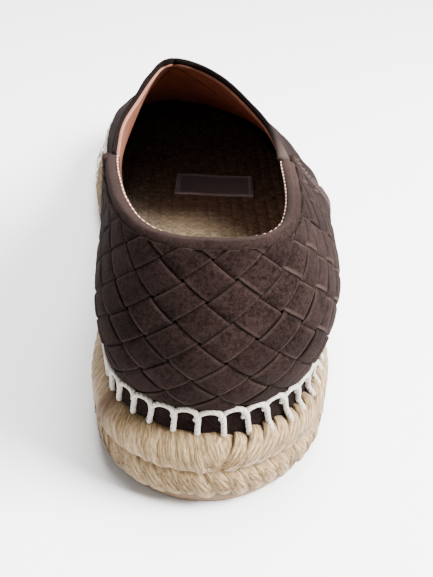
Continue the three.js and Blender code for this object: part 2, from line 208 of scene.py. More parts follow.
def side_point(turn, out, height):
    """A point beside the jute: out of the outline, at a share of the height of the jute's side."""
    plan = outline(turn, out)
    low = sole_bottom(plan[..., 1]) + OUTSOLE_THICKNESS + GAP
    z = low + (sole_top(plan[..., 1]) - low) * height
    return np.concatenate([plan, z[..., None]], -1)


def level_outs(turn):
    """The level way out of the outline at each turn."""
    outs = unit(outline(turn, 1.0) - outline(turn, 0.0))
    return np.pad(outs, [(0, 0)] * (outs.ndim - 1) + [(0, 1)])


def section_table(side):
    """Turn, y, z, lie, x, swell and spread of one side, with one row more past each end, where
    the table goes on round the other side."""
    own, other = ((4, 5, 6), (7, 8, 9)) if side == "inner" else ((7, 8, 9), (4, 5, 6))
    rows = SECTIONS[:, [0, 1, 2, 3, *own]]
    mirror = SECTIONS[:, [0, 1, 2, 3, *other]] * np.array([1, 1, 1, 1, -1, 1, 1])
    before = mirror[1] * np.array([-1, 1, 1, 1, 1, 1, 1])
    after = mirror[LAST - 1].copy()
    after[0] = 360 - after[0]
    return np.vstack([before, rows, after])


TABLES = {side: section_table(side) for side in ("inner", "outer")}


def section_values(place, side):
    """The cubic through the rows of one side's table, at places from 0 to LAST."""
    index = np.clip(np.floor(place).astype(int), 0, LAST - 1)
    rows = [TABLES[side][index + step] for step in (0, 1, 2, 3)]
    return spline(*rows, (place - index)[:, None])


def ridge_slope(place):
    """The slope of the vamp's middle line a quarter of a section to each side of a place."""
    low = section_values(np.maximum(THROAT, place - 0.25), "outer")
    high = section_values(np.minimum(LAST, place + 0.25), "outer")
    return (high[:, 2] - low[:, 2]) / (high[:, 1] - low[:, 1])


def section_curves(place, side, shares):
    """A section is a cubic Bezier curve from the top of the fold to the top of the wall. Its
    second point stands out by the swell, and its third out by the spread."""
    sign = -1 if side == "inner" else 1
    value = section_values(place, side)
    turn = sign * np.minimum(180, value[:, 0])
    lie = np.clip(value[:, 3], 0, 1)[:, None]
    foot_plan = outline(turn, -UPPER_INSET)
    outwards = np.pad(unit(outline(turn, 0) - foot_plan), ((0, 0), (0, 1)))
    foot = np.column_stack([foot_plan, sole_top(foot_plan[:, 1]) + GAP + FOLD_HEIGHT])
    top = np.column_stack([sign * value[:, 4], value[:, 1], value[:, 2]])
    height = (top[:, 2] - foot[:, 2])[:, None]
    upwards = np.array([[0, 0, 1.0]])
    across = unit((foot - top) * np.array([[1, 1, 0]]))
    shoulder = STANDING_SHOULDER + (LYING_SHOULDER[side] - STANDING_SHOULDER) * lie
    low = foot + outwards * value[:, 5:6] + upwards * height * shoulder
    spread = value[:, 6:7]
    standing = across * spread - upwards * 0.3 * height
    slope = ridge_slope(np.maximum(THROAT, place))[:, None]
    flat = (across + upwards * across[:, 1:2] * slope) * spread
    high = top + standing * (1 - lie) + flat * lie
    t = np.linspace(0, 1, 121)[None, :, None]
    points = ((1 - t) ** 3 * foot[:, None] + 3 * t * (1 - t) ** 2 * low[:, None]
              + 3 * t * t * (1 - t) * high[:, None] + t ** 3 * top[:, None])
    run = run_along(points)
    share = run / run[:, -1:]
    return np.stack([
        np.stack([np.interp(shares, share[i], points[i, :, k]) for k in range(3)], -1)
        for i in range(len(place))
    ])


PLACES_PER_ROW = 24
UPPER_PLACES = np.linspace(-LAST, LAST, 2 * LAST * PLACES_PER_ROW + 1)
UPPER_SHARES = np.linspace(0, 1, 81)


def upper_table():
    """The upper's points and outward normals over signed places, inner side below 0, and shares."""
    inner = section_curves(-UPPER_PLACES[UPPER_PLACES < 0], "inner", UPPER_SHARES)
    outer = section_curves(UPPER_PLACES[UPPER_PLACES >= 0], "outer", UPPER_SHARES)
    points = np.concatenate([inner, outer])
    normals = unit(np.cross(np.gradient(points, axis=0), np.gradient(points, axis=1)))
    lying = np.abs(UPPER_PLACES) >= THROAT
    both = unit(normals[:, -1] + normals[::-1, -1])
    normals[lying, -1] = both[lying]
    return points, normals


UPPER_POINTS, UPPER_NORMALS = upper_table()


def read_table(table, place, share):
    """Reads a table between its rows and columns, straight in both ways."""
    p = (np.clip(place, -LAST, LAST) + LAST) * PLACES_PER_ROW
    s = np.clip(share, 0, 1) * (len(UPPER_SHARES) - 1)
    i = np.minimum(np.floor(p).astype(int), len(UPPER_PLACES) - 2)
    j = np.minimum(np.floor(s).astype(int), len(UPPER_SHARES) - 2)
    f = (p - i)[..., None]
    g = (s - j)[..., None]
    return ((table[i, j] * (1 - f) + table[i + 1, j] * f) * (1 - g)
            + (table[i, j + 1] * (1 - f) + table[i + 1, j + 1] * f) * g)


def section_length(place):
    """How long the section at a place is."""
    share = np.linspace(0, 1, 41)
    points = read_table(UPPER_POINTS, np.asarray(place, float)[..., None] + 0 * share, share)
    return np.linalg.norm(np.diff(points, axis=-2), axis=-1).sum(-1)


def on_upper(place, share, lift):
    """The upper's point at a place and share, moved along its normal by lift. Past share 1 the
    section goes on straight."""
    place, share, lift = np.broadcast_arrays(place, share, lift)
    point = read_table(UPPER_POINTS, place, share) + lift[..., None] * read_table(
        UPPER_NORMALS, place, share)
    end = read_table(UPPER_POINTS, place, np.ones_like(share))
    before = read_table(UPPER_POINTS, place, 0.98 * np.ones_like(share))
    beyond = np.maximum(0, share - 1)[..., None] / 0.02
    return point + beyond * (end - before)


def grid_faces(rows, columns, wrap_rows=False, wrap_columns=False):
    """The quads of a grid whose points run along the columns first."""
    index = np.arange(rows * columns).reshape(rows, columns)
    if wrap_rows:
        index = np.vstack([index, index[:1]])
    if wrap_columns:
        index = np.hstack([index, index[:, :1]])
    quads = [index[:-1, :-1], index[:-1, 1:], index[1:, 1:], index[1:, :-1]]
    return np.stack(quads, -1).reshape(-1, 4)


def end_faces(steps, sides):
    """The two faces that close a section carried along a path."""
    return [list(range(sides)), list(range((steps - 1) * sides, steps * sides))]


def make_piece(name, points, faces, material, uv=None, shades=None, ngons=()):
    """One mesh from points in millimetres, its faces, a UV in millimetres and shades a point."""
    flat = np.asarray(points, float).reshape(-1, 3) + np.array([*HEEL_POINT, 0])
    mesh = bpy.data.meshes.new(name)
    mesh.from_pydata((flat * MM).tolist(), [], [*np.asarray(faces).tolist(), *ngons])
    for shade, values in (shades or {}).items():
        layer = mesh.attributes.new(shade, "FLOAT", "POINT")
        each = np.broadcast_to(values, len(flat)).astype(np.float32)
        layer.data.foreach_set("value", each)
    if uv is not None:
        corners = np.empty(len(mesh.loops), np.int32)
        mesh.loops.foreach_get("vertex_index", corners)
        layer = mesh.uv_layers.new(name="run")
        placed = np.asarray(uv).reshape(-1, 2)[corners] * MM
        layer.data.foreach_set("uv", placed.astype(np.float32).ravel())
    mesh.polygons.foreach_set("use_smooth", [True] * len(mesh.polygons))
    mesh.materials.append(material)
    piece = bpy.data.objects.new(name, mesh)
    bpy.context.scene.collection.objects.link(piece)
    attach(piece, "root")
    return piece


def tubes(paths, outs, half_width, half_depth, sides=8):
    """Elliptic tubes along several paths. outs is the way each path's depth is measured, and the
    width lies across it. Returns points, faces, end faces and a UV along and round each tube."""
    count, steps = paths.shape[:2]
    along = unit(np.gradient(paths, axis=1))
    across = unit(np.cross(along, outs))
    depth = unit(np.cross(across, along))
    angle = np.linspace(0, 2 * np.pi, sides, endpoint=False)
    width = np.broadcast_to(half_width, (count, steps))[..., None, None]
    deep = np.broadcast_to(half_depth, (count, steps))[..., None, None]
    points = (paths[:, :, None] + across[:, :, None] * width * np.cos(angle)[:, None]
              + depth[:, :, None] * deep * np.sin(angle)[:, None])
    one = grid_faces(steps, sides, wrap_columns=True)
    first = (np.arange(count) * steps * sides)[:, None, None]
    faces = (one[None] + first).reshape(-1, 4)
    near = (first[:, 0] + np.arange(sides)[None]).tolist()
    far = (first[:, 0] + (steps - 1) * sides + np.arange(sides)[None, ::-1]).tolist()
    run = run_along(paths)
    girth = angle / (2 * np.pi) * np.pi * (width + deep)[..., 0]
    uv = np.stack(np.broadcast_arrays(run[..., None], girth), -1)
    return points, faces, [*near, *far], uv


def turn_faces_out(piece):
    """Recalculates the normals of a piece made of closed shells."""
    work = bmesh.new()
    work.from_mesh(piece.data)
    bmesh.ops.remove_doubles(work, verts=work.verts, dist=1e-6)
    bmesh.ops.dissolve_degenerate(work, edges=work.edges, dist=1e-7)
    bmesh.ops.recalc_face_normals(work, faces=work.faces)
    work.to_mesh(piece.data)
    work.free()


# Materials


class Finish:
    """A material with its nodes, built by short calls."""

    def __init__(self, name, **sockets):
        self.material = bpy.data.materials.new(name)
        self.material.use_nodes = True
        self.tree = self.material.node_tree
        self.shader = self.tree.nodes["Principled BSDF"]
        for socket, value in sockets.items():
            self.shader.inputs[socket.replace("_", " ")].default_value = value
        self.coordinates = self.tree.nodes.new("ShaderNodeTexCoord")

    def node(self, kind, **settings):
        """A new node with its settings."""
        made = self.tree.nodes.new("ShaderNode" + kind)
        for key, value in settings.items():
            setattr(made, key, value)
        return made

    def put(self, socket, value):
        """Links an output to a socket, or sets the socket to a plain value."""
        if isinstance(value, bpy.types.NodeSocket):
            self.tree.links.new(value, socket)
        else:
            socket.default_value = value

    def math(self, operation, a, b):
        """One sum or product of two values."""
        made = self.node("Math", operation=operation)
        self.put(made.inputs[0], a)
        self.put(made.inputs[1], b)
        return made.outputs[0]

    def shade(self, name):
        """One of the piece's own shades."""
        return self.node("Attribute", attribute_name=name).outputs["Fac"]

    def place(self, scale=(1, 1, 1), uv=False):
        """Where a point lies on the object, or along and across its UV."""
        source = self.coordinates.outputs["UV" if uv else "Object"]
        mapping = self.node("Mapping")
        self.put(mapping.inputs["Vector"], source)
        mapping.inputs["Scale"].default_value = scale
        return mapping.outputs[0]

    def noise(self, vector, scale, detail=4.0, rough=0.6, warp=0.0):
        """Soft noise around 0.5."""
        made = self.node("TexNoise")
        self.put(made.inputs["Vector"], vector)
        made.inputs["Scale"].default_value = scale
        made.inputs["Detail"].default_value = detail
        made.inputs["Roughness"].default_value = rough
        made.inputs["Distortion"].default_value = warp
        return made.outputs["Fac"]

    def ramp(self, value, *stops):
        """Colours at places between 0 and 1."""
        made = self.node("ValToRGB")
        self.put(made.inputs[0], value)
        elements = made.color_ramp.elements
        while len(elements) < len(stops):
            elements.new(0.5)
        for element, (position, colour) in zip(elements, stops):
            element.position = position
            element.color = (*colour, 1)
        return made.outputs["Color"]

    def mix(self, share, a, b, blend="MIX"):
        """Colour a, going to b as the share goes from 0 to 1."""
        made = self.node("Mix", data_type="RGBA", blend_type=blend)
        self.put(made.inputs["Factor"], share)
        for socket, value in ((made.inputs[6], a), (made.inputs[7], b)):
            if isinstance(value, tuple):
                value = (*value, 1)
            self.put(socket, value)
        return made.outputs[2]

    def toned(self, colour, low, high):
        """A colour times low where the tone is 0 and high where it is 1."""
        grey = self.ramp(self.shade("tone"), (0.0, (low,) * 3), (1.0, (high,) * 3))
        return self.mix(1.0, colour, grey, "MULTIPLY")

    def waves(self, vector, scale, direction, warp=0.0):
        """Straight bands."""
        made = self.node("TexWave", wave_type="BANDS", bands_direction=direction)
        self.put(made.inputs["Vector"], vector)
        made.inputs["Scale"].default_value = scale
        made.inputs["Distortion"].default_value = warp
        return made.outputs["Fac"]

    def finish(self, colour, height, strength, distance):
        """Sets the colour and a bump, and gives back the material."""
        self.put(self.shader.inputs["Base Color"], colour)
        bump = self.node("Bump")
        bump.inputs["Strength"].default_value = strength
        bump.inputs["Distance"].default_value = distance
        self.put(bump.inputs["Height"], height)
        self.put(self.shader.inputs["Normal"], bump.outputs[0])
        return self.material


def suede(name, dark, light, edge_colour):
    """Napped suede: a fine grain, soft clouds where the nap lies another way, and pale fluffy
    edges where it is cut. The same edge colour also serves as a painted highlight on sides that
    face the light, and the shadow shade mixes in painted shade."""
    f = Finish(name, Roughness=0.95, Sheen_Weight=0.02, Sheen_Roughness=0.5)
    f.shader.inputs["Sheen Tint"].default_value = (0.75, 0.6, 0.55, 1)
    f.shader.inputs["Specular IOR Level"].default_value = 0.02
    where = f.place()
    grain = f.noise(where, 2400, 3.0, 0.7)
    nap = f.noise(where, 1000, 3.0, 0.65, 0.6)
    cloud = f.noise(where, 90, 3.0, 0.55, 0.5)
    mixed = f.math("ADD", f.math("MULTIPLY", grain, 0.3), f.math("MULTIPLY", nap, 0.46))
    mixed = f.math("ADD", mixed, f.math("MULTIPLY", cloud, 0.24))
    colour = f.ramp(mixed, (0.4, dark), (0.59, light))
    colour = f.mix(f.shade("edge"), colour, edge_colour)
    colour = f.mix(f.shade("shadow"), colour, tuple(0.25 * c for c in dark))
    colour = f.toned(colour, 0.72, 1.28)
    height = f.math("ADD", f.math("MULTIPLY", grain, 0.6), nap)
    return f.finish(colour, height, 0.6, 0.00025)


RUST = (0.075, 0.032, 0.009)


def jute(name, dark, mid, light, fibre=5200, strength=0.8):
    """Jute: fine fibres along each strand, with darker ones and loose bright ones between."""
    f = Finish(name, Roughness=0.85, Sheen_Weight=0.15, Sheen_Roughness=0.4)
    f.shader.inputs["Specular IOR Level"].default_value = 0.25
    along = f.place((0.09, 1, 1), uv=True)
    fine = f.noise(along, fibre, 3.0, 0.65, 0.3)
    yarns = f.noise(along, fibre / 5, 2.0, 0.5, 0.2)
    streak = f.math("ADD", f.math("MULTIPLY", fine, 0.6), f.math("MULTIPLY", yarns, 0.4))
    colour = f.ramp(streak, (0.39, dark), (0.5, mid), (0.6, light))
    cloud = f.noise(f.place(), 60, 3.0)
    colour = f.mix(f.math("MULTIPLY", cloud, 0.35), colour, mid)
    colour = f.mix(f.shade("shadow"), colour, tuple(0.45 * c for c in dark))
    colour = f.mix(f.shade("stain"), colour, RUST)
    colour = f.toned(colour, 0.82, 1.14)
    height = f.math("ADD", f.math("MULTIPLY", fine, 0.5), yarns)
    return f.finish(colour, height, strength, 0.0005)


def cotton():
    """Soft off-white yarn of twisted plies."""
    f = Finish("white_cotton", Roughness=0.9, Sheen_Weight=0.3)
    twist = f.waves(f.place(uv=True), 420, "DIAGONAL", 1.2)
    fluff = f.noise(f.place(), 3000, 3.0)
    colour = f.ramp(fluff, (0.3, (0.3, 0.26, 0.215)), (0.7, (0.48, 0.43, 0.37)))
    colour = f.mix(f.shade("shadow"), colour, (0.3, 0.26, 0.2))
    height = f.math("ADD", twist, f.math("MULTIPLY", fluff, 0.6))
    return f.finish(colour, height, 0.6, 0.0004)


def smooth_leather(name, dark, light):
    """Matt lining leather with fine pores."""
    f = Finish(name, Roughness=0.62)
    f.shader.inputs["Specular IOR Level"].default_value = 0.3
    where = f.place()
    cloud = f.noise(where, 90, 4.0)
    colour = f.mix(f.shade("shadow"), f.ramp(cloud, (0.3, dark), (0.7, light)),
                   tuple(0.3 * c for c in dark))
    cells = f.node("TexVoronoi")
    f.put(cells.inputs["Vector"], where)
    cells.inputs["Scale"].default_value = 1400
    return f.finish(colour, cells.outputs["Distance"], 0.25, 0.0002)


def plain_rubber():
    """Tan rubber, dusty where it is worn."""
    f = Finish("tan_rubber", Roughness=0.7)
    where = f.place()
    colour = f.ramp(f.noise(where, 120, 5.0), (0.3, (0.16, 0.095, 0.05)), (0.7, (0.27, 0.17, 0.1)))
    return f.finish(colour, f.noise(where, 1800, 3.0), 0.3, 0.0002)


def label_cloth():
    """A plain grey patch of fine warp and weft."""
    f = Finish("grey_patch", Roughness=0.75)
    where = f.place()
    weave = f.math("MULTIPLY", f.waves(where, 900, "X"), f.waves(where, 900, "Y"))
    colour = f.ramp(weave, (0.0, (0.28, 0.29, 0.335)), (1.0, (0.5, 0.51, 0.57)))
    colour = f.mix(f.shade("edge"), colour, (0.66, 0.66, 0.7))
    return f.finish(colour, weave, 0.5, 0.0002)


# The sole


def slab_rows(ring):
    """Lines across a ring, each between the two points that lie across from each other."""
    half = len(ring) // 2
    return ring[1:half], ring[:half:-1][: half - 1]


def cap_grid(ring, columns, height_at=None):
    """A cap over a ring: straight lines across it, with the height that a function may add."""
    left, right = slab_rows(ring)
    share = np.linspace(0, 1, columns)[None, :, None]
    points = left[:, None] * (1 - share) + right[:, None] * share
    if height_at:
        inside = np.minimum(share, 1 - share)[..., 0] > 1e-9
        points[..., 2] += np.where(inside, height_at(points), 0)
    return points


TREAD_PITCH = 4
TREAD_DEPTH = 0.5


def rubber_outsole(material):
    """The outline carried up a profile with a rounded lower edge, and a floor side with shallow
    grooves across it."""
    count = 480
    distance = np.arange(count) * OUTLINE_LENGTH / count
    profile = [(1.1, 0), (0.55, 0.12), (0.12, 0.5), (0, 1.0), (0, 2.2), (0.3, OUTSOLE_THICKNESS)]
    rings = np.stack([ring_points(distance, -OUTSOLE_INSET - inset, z_above_bottom=up)
                      for inset, up in profile])
    side = grid_faces(len(profile), count, wrap_columns=True)

    def tread(points):
        """Grooves along the zero lines of a sine over y, shifted by a slower one over x."""
        place = np.pi * points[..., 1] / TREAD_PITCH + 0.9 * np.sin(points[..., 0] / 5)
        return TREAD_DEPTH * smooth_step(0.5, 0.1, np.abs(np.sin(place)))

    bottom = cap_grid(rings[0], 48, tread)
    top = cap_grid(rings[-1], 3)
    return join_ring_and_caps("outsole", rings, side, [(bottom, False), (top, True)], material,
                              "rubber_outsole")


def join_ring_and_caps(name, rings, side, caps, material, node, shades=None, uv_at=None):
    """One closed piece from a stack of rings and the caps over its first and last ring. uv_at
    works a UV out from the points."""
    parts = [rings.reshape(-1, 3)]
    faces = [side]
    ngons = []
    for cap, up in caps:
        start = sum(len(part) for part in parts)
        rows, columns = cap.shape[:2]
        faces.append(grid_faces(rows, columns) + start)
        ring_start = (len(rings) - 1) * rings.shape[1] if up else 0
        tip = ring_start + rings.shape[1] // 2
        ngons.append([ring_start, *range(start, start + columns)])
        ngons.append([tip, *range(start + (rows - 1) * columns, start + rows * columns)])
        parts.append(cap.reshape(-1, 3))
    points = np.concatenate(parts)
    piece = make_piece(name, points, np.concatenate(faces), material,
                       uv=uv_at(points) if uv_at else None, shades=shades, ngons=ngons)
    turn_faces_out(piece)
    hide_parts(node)
    return piece


def jute_core(material):
    """The inside of the jute sole, a little behind the strands of its side."""
    count = 360
    distance = np.arange(count) * OUTLINE_LENGTH / count
    profile = [(-4.6, 0.0), (-2.8, 0.14), (-2.2, 0.3), (-3.2, 0.45), (-2.0, 0.58), (-2.3, 0.8),
               (-4.6, 0.88), (-5.0, 0.97)]
    rings = np.stack([side_point(turn_at(distance), out, height) for out, height in profile])
    side = grid_faces(len(profile), count, wrap_columns=True)
    flat = [(cap_grid(rings[0], 3), False), (cap_grid(rings[-1], 3), True)]
    return join_ring_and_caps("jute_core", rings, side, flat, material, "jute_sole",
                              shades={"shadow": 0.75, "stain": 0.0, "tone": 0.4})


# A strand's way, from its tucked lower end to its tucked upper end: how far up the side it is,
# how far out, how far along, and how wide and thick it is there
UPPER_STRAND = np.array([
    [0.4, -3.2, -4.6, 0.8, 0.5],
    [0.46, -1.9, -3.8, 1.9, 1.0],
    [0.54, -0.8, -2.5, 2.6, 1.3],
    [0.63, -0.2, -1.1, 2.9, 1.45],
    [0.72, -0.2, 0.3, 2.9, 1.45],
    [0.81, -0.9, 1.5, 3.1, 1.35],
    [0.875, -2.1, 2.4, 3.3, 1.2],
    [0.91, -3.9, 3.0, 3.2, 0.9],
])
LOWER_STRAND = np.array([
    [0.55, -3.2, -4.2, 0.8, 0.5],
    [0.50, -2.1, -3.5, 1.9, 0.9],
    [0.43, -1.1, -2.4, 2.5, 1.2],
    [0.34, -0.5, -0.9, 2.8, 1.4],
    [0.23, -0.5, 0.8, 2.9, 1.5],
    [0.12, -1.1, 2.4, 2.9, 1.45],
    [0.04, -2.2, 3.8, 2.6, 1.1],
    [0.0, -3.8, 4.8, 1.8, 0.6],
])


def braid_row(name, way, seed, material):
    """One row of the side's braid: a short leaning strand every few millimetres, wide and full
    in its middle, narrow and tucked under its neighbour at both ends."""
    rng = np.random.default_rng(seed)
    steps = 15
    shape = spread_rows(way, steps)
    middle = (np.arange(STRANDS) + 0.5) * OUTLINE_LENGTH / STRANDS
    middle = middle + rng.normal(0, 0.35, STRANDS)
    wobble = rng.normal(0, 1, (STRANDS, 4))
    along = middle[:, None] + shape[None, :, 2] * (1 + 0.1 * wobble[:, :1])
    out = shape[None, :, 1] + 0.16 * wobble[:, 1:2] * np.sin(np.linspace(0, np.pi, steps))
    # the inner side is pressed flat, most of all along the rim
    signed = np.where(middle < OUTLINE_LENGTH / 2, middle, middle - OUTLINE_LENGTH)
    if way is UPPER_STRAND:
        worn = smooth_step(10, -4, signed)[:, None] * smooth_step(0.5, 0.66, shape[None, :, 0])
        pressed = -RIM_PRESSED_IN
    else:
        worn = 0.6 * smooth_step(-8, -30, signed)[:, None] * np.ones((1, steps))
        pressed = 0.55
    height = shape[None, :, 0] + 0.012 * wobble[:, 2:3]
    paths = side_point(turn_at(along), out + pressed * worn, height)
    outs = level_outs(turn_at(along))
    outs[..., 2] = 0.25 * (height - 0.5)
    size = 1 + 0.07 * wobble[:, 3:4]
    sides = 12
    points, faces, ends, uv = tubes(paths, outs, shape[None, :, 3] * size * (1 + 0.5 * worn),
                                    shape[None, :, 4] * size * (1 - 0.45 * worn), sides)
    # shallow grooves between the yarns of a strand
    angle = np.linspace(0, 2 * np.pi, sides, endpoint=False)
    yarns = 0.12 * np.abs(np.sin(2.5 * angle + 0.4))
    points = points - outs[:, :, None] * (yarns * np.sin(angle).clip(0))[:, None]
    tone = np.broadcast_to(rng.uniform(0.15, 0.95, (STRANDS, 1, 1)), points.shape[:3])
    number = np.arange(steps)
    ends_dark = np.maximum(smooth_step(3, 0, number),
                           0.6 * smooth_step(steps - 4, steps - 1, number))
    deep = 0.5 - 0.5 * np.sin(angle)
    shadow = ends_dark[None, :, None] * 0.6 + 0.55 * deep ** 2 * (1 - 0.7 * worn[..., None])
    shadow = np.broadcast_to(np.clip(shadow, 0, 1), points.shape[:3])
    back = -middle[:, None, None] % OUTLINE_LENGTH
    stain = 0.8 * np.exp(-((back - STAIN_AT) / 5) ** 2) * np.ones(points.shape[:3])
    stain = stain * smooth_step(0.3, 0.75, height.mean()) if way is UPPER_STRAND else 0.3 * stain
    piece = make_piece(name, points, faces, material, uv=uv, ngons=ends,
                       shades={"tone": tone.ravel(), "shadow": shadow.ravel(),
                               "stain": np.asarray(stain).ravel()})
    turn_faces_out(piece)
    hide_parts("jute_sole")
    return piece


RIM_PRESSED_IN = 2.4  # how far the strands lie behind the smooth band
RIM_FIRST, RIM_LAST = 9, -190  # where the band starts and ends, along the outline from the back
RIM_WAVE = 5.1  # from one low wave to the next
# The band's height up the side and how far out it stands, round its section
RIM_BAND = np.array([
    [0.43, -0.9], [0.47, 0.3], [0.52, 1.0], [0.6, 1.4], [0.68, 1.5], [0.76, 1.25], [0.83, 0.55],
    [0.88, -0.5], [0.93, -1.6], [0.97, -2.7], [0.975, -3.6], [0.94, -4.6], [0.6, -3.6],
])


def rim_band(material):
    """The braid's upper edge where it is pressed smooth, from the middle of the back round the
    inner side: one closed section carried along the outline, that sinks behind the strands at
    both ends. Its surface is a sum of low waves that lean as the strands do."""
    steps = 420
    signed = np.linspace(RIM_FIRST, RIM_LAST, steps)[:, None]
    here = smooth_step(RIM_FIRST, -3, signed) * smooth_step(RIM_LAST, -160, signed)
    height, out = RIM_BAND[None, :, 0], RIM_BAND[None, :, 1]
    front = smooth_step(-1.5, 0.2, out)
    place = signed - 9 * height
    low_wave = np.sin(2 * np.pi * place / RIM_WAVE)
    wave = (0.1 * low_wave + 0.07 * np.sin(2 * np.pi * place / 3.1 + 4 * height)
            + 0.06 * np.sin(signed / 0.61 + 9 * height) + 0.12 * np.sin(signed / 5.3))
    out = out + wave * front - RIM_PRESSED_IN * (1 - here)
    hanging = smooth_step(0.52, 0.44, height)
    lift = height + 0.035 * hanging * low_wave
    lift = lift + 0.006 * np.sin(signed / 1.7) + 0.005 * np.sin(signed / 0.9 + 2)
    rows = side_point(np.broadcast_to(turn_at(signed), out.shape), out, lift)
    shape = rows.shape[:2]
    away = run_along(RIM_BAND * [SIDE_HEIGHT, 1])[None]
    lean = signed + 0.25 * away
    uv = np.stack(np.broadcast_arrays(away + 0 * lean, lean), -1)
    tone = 0.5 + 0.2 * np.sin(place / 4.7) + 0.15 * np.sin(signed / 11)
    stain = np.exp(-((signed + STAIN_AT) / 3.8) ** 2) * smooth_step(0.48, 0.64, height)
    faces = grid_faces(steps, len(RIM_BAND), wrap_columns=True)
    shades = {"tone": tone, "shadow": 0.12 * (1 - front) + 0 * tone, "stain": stain}
    shades = {key: np.broadcast_to(value, shape).ravel() for key, value in shades.items()}
    piece = make_piece("rim_band", rows, faces, material, uv=uv, shades=shades,
                       ngons=end_faces(steps, len(RIM_BAND)))
    turn_faces_out(piece)
    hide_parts("jute_sole")
    return piece


def loose_fibres(material):
    """Hairs that have come out of the braid: thin bent tubes that lie along its side."""
    rng = np.random.default_rng(31)
    count = 1500
    steps = np.linspace(-1, 1, 6)
    at = rng.uniform(0, OUTLINE_LENGTH, (count, 1))
    length = rng.uniform(2.0, 5.5, (count, 1))
    way = rng.normal(0, 1, (count, 1)) * 0.6 + np.where(rng.random((count, 1)) < 0.5, 1.0, -1.0)
    bend = rng.normal(0, 1, (count, 1))
    level = rng.uniform(0.05, 0.86, (count, 1))
    along = at + steps * length * np.cos(way) + bend * steps ** 2
    height = level + steps * length * np.sin(way) / SIDE_HEIGHT + 0.05 * bend * steps ** 2
    height = np.clip(height, 0.02, 0.9)
    # the side's own bulges, so that each hair lies close over the strands
    surface = np.interp(height, [0, 0.12, 0.3, 0.46, 0.62, 0.74, 0.84, 0.92],
                        [-2.4, 0.1, 0.8, -0.7, 1.1, 0.7, -1.2, -3.6])
    out = surface + 0.15 + rng.uniform(0, 0.5, (count, 1)) * steps ** 2
    turn = turn_at(along)
    paths = side_point(turn, out, height)
    outs = level_outs(turn)
    thick = rng.uniform(0.05, 0.11, (count, 1)) * (1 - 0.5 * steps ** 2)
    points, faces, ends, uv = tubes(paths, outs, thick, thick, 4)
    tone = np.broadcast_to(rng.uniform(0, 1, (count, 1, 1)), points.shape[:3]).ravel()
    piece = make_piece("loose_fibres", points, faces, material, uv=uv, ngons=ends,
                       shades={"tone": tone, "shadow": 0.0, "stain": 0.0})
    turn_faces_out(piece)
    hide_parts("jute_sole")
    return piece


INSOLE_ROW = 4.4  # the width of one row of the insole's braid
INSOLE_STRAND = 4.7  # from one strand to the next along a row
HEEL_CREASE = (3.5, 34)  # where the insole is creased, under the heel


def insole(material):
    """Flat braid laid in rows beside each other: across the insole each row is a low arch, and
    along it the arch rises and falls as its strands cross."""
    count = 720
    distance = np.arange(count) * OUTLINE_LENGTH / count
    profile = [(1.2, 0.0), (0.2, 0.5), (0, 1.4), (0.3, 2.3), (1.0, INSOLE_THICKNESS - 0.2)]
    rings = np.stack([ring_points(distance, -INSOLE_INSET - inset, z_above_top=GAP + up)
                      for inset, up in profile])
    side = grid_faces(len(profile), count, wrap_columns=True)

    def braid(points):
        """An arch across each row, times a rounded sine along it that leans to a point."""
        x, y = points[..., 0], points[..., 1]
        row = x / INSOLE_ROW + 0.05 * np.sin(y / 17) + 0.03 * np.sin(y / 6.3 + x)
        cell = row - np.floor(row) - 0.5
        number = np.floor(row)
        lean = y / INSOLE_STRAND + 1.6 * np.abs(cell) + 0.37 * number
        lean = lean + 0.12 * np.sin(y / 11 + 2 * number)
        strand = np.abs(np.sin(np.pi * lean)) ** 0.6
        arch = 1 - (2 * np.abs(cell)) ** 3
        height = 0.1 + 0.3 * arch + 0.34 * strand * arch + 0.12 * np.sin(x / 7 + 1) * np.sin(y / 15)
        ahead = y - HEEL_CREASE[1]
        beside = x - HEEL_CREASE[0] - 0.12 * ahead
        fold = 1.2 * np.exp(-(beside / 0.8) ** 2) * np.exp(-(ahead / 9) ** 2)
        to_side = np.minimum(x.max(1, keepdims=True) - x, x - x.min(1, keepdims=True))
        edge = smooth_step(0, 3, to_side)
        return -0.2 + edge * (0.25 + height - fold)

    def fibres_at(points):
        """A UV turned by an eighth of a turn, one way on a row's left half and the other way on
        its right half."""
        x, y = points[:, 0], points[:, 1]
        row = x / INSOLE_ROW + 0.05 * np.sin(y / 17)
        half = np.where(row - np.floor(row) > 0.5, 1, -1)
        return np.column_stack([y + half * x, y - half * x])

    top = cap_grid(rings[-1], 150, braid)
    bottom = cap_grid(rings[0], 3)
    return join_ring_and_caps("insole_braid", rings, side, [(bottom, False), (top, True)],
                              material, "insole",
                              shades={"tone": 0.5, "shadow": 0.0, "stain": 0.0},
                              uv_at=fibres_at)


# The upper


MIDDLE_SHARE = 0.45  # the share of height at which the flat sheet is measured
SHEET_HALF = 110  # the flat sheet's reach to each side


def heel_piece_end(share):
    """Where the heel piece ends at each share of height: straight down from the collar's corner,
    back a little above the middle, and forward to its full reach at the sole."""
    return np.interp(share, [0, 0.12, 0.25, 0.4, 0.55, 0.7, 0.82, 0.92, 1],
                     [6, 5.85, 5.6, 5.38, 5.24, 5.2, 5.28, 5.5, HEEL_CORNER])


def heel_sheet_map():
    """The flat sheet that the heel piece is cut from: for each share of height, the place at each
    distance round from the back. The distance is half way between the one at that height and
    the one at the middle height, so that the strips stay nearly even."""
    shares = np.linspace(0, 1, 41)
    places = np.linspace(-HEEL_PIECE_END, HEEL_PIECE_END, 481)
    points = read_table(UPPER_POINTS, *np.broadcast_arrays(places[None, :], shares[:, None]))
    run = run_along(points)
    run = run - run[:, [len(places) // 2]]
    middle = int(MIDDLE_SHARE * (len(shares) - 1))
    run = 0.5 * run + 0.5 * run[[middle]]
    across = np.linspace(-SHEET_HALF, SHEET_HALF, 441)
    table = np.stack([np.interp(across, line, places) for line in run])
    ends = heel_piece_end(shares)
    reach = np.stack([[np.interp(side * end, places, line) for end, line in zip(ends, run)]
                      for side in (-1, 1)], 1)
    return shares, across, table, reach


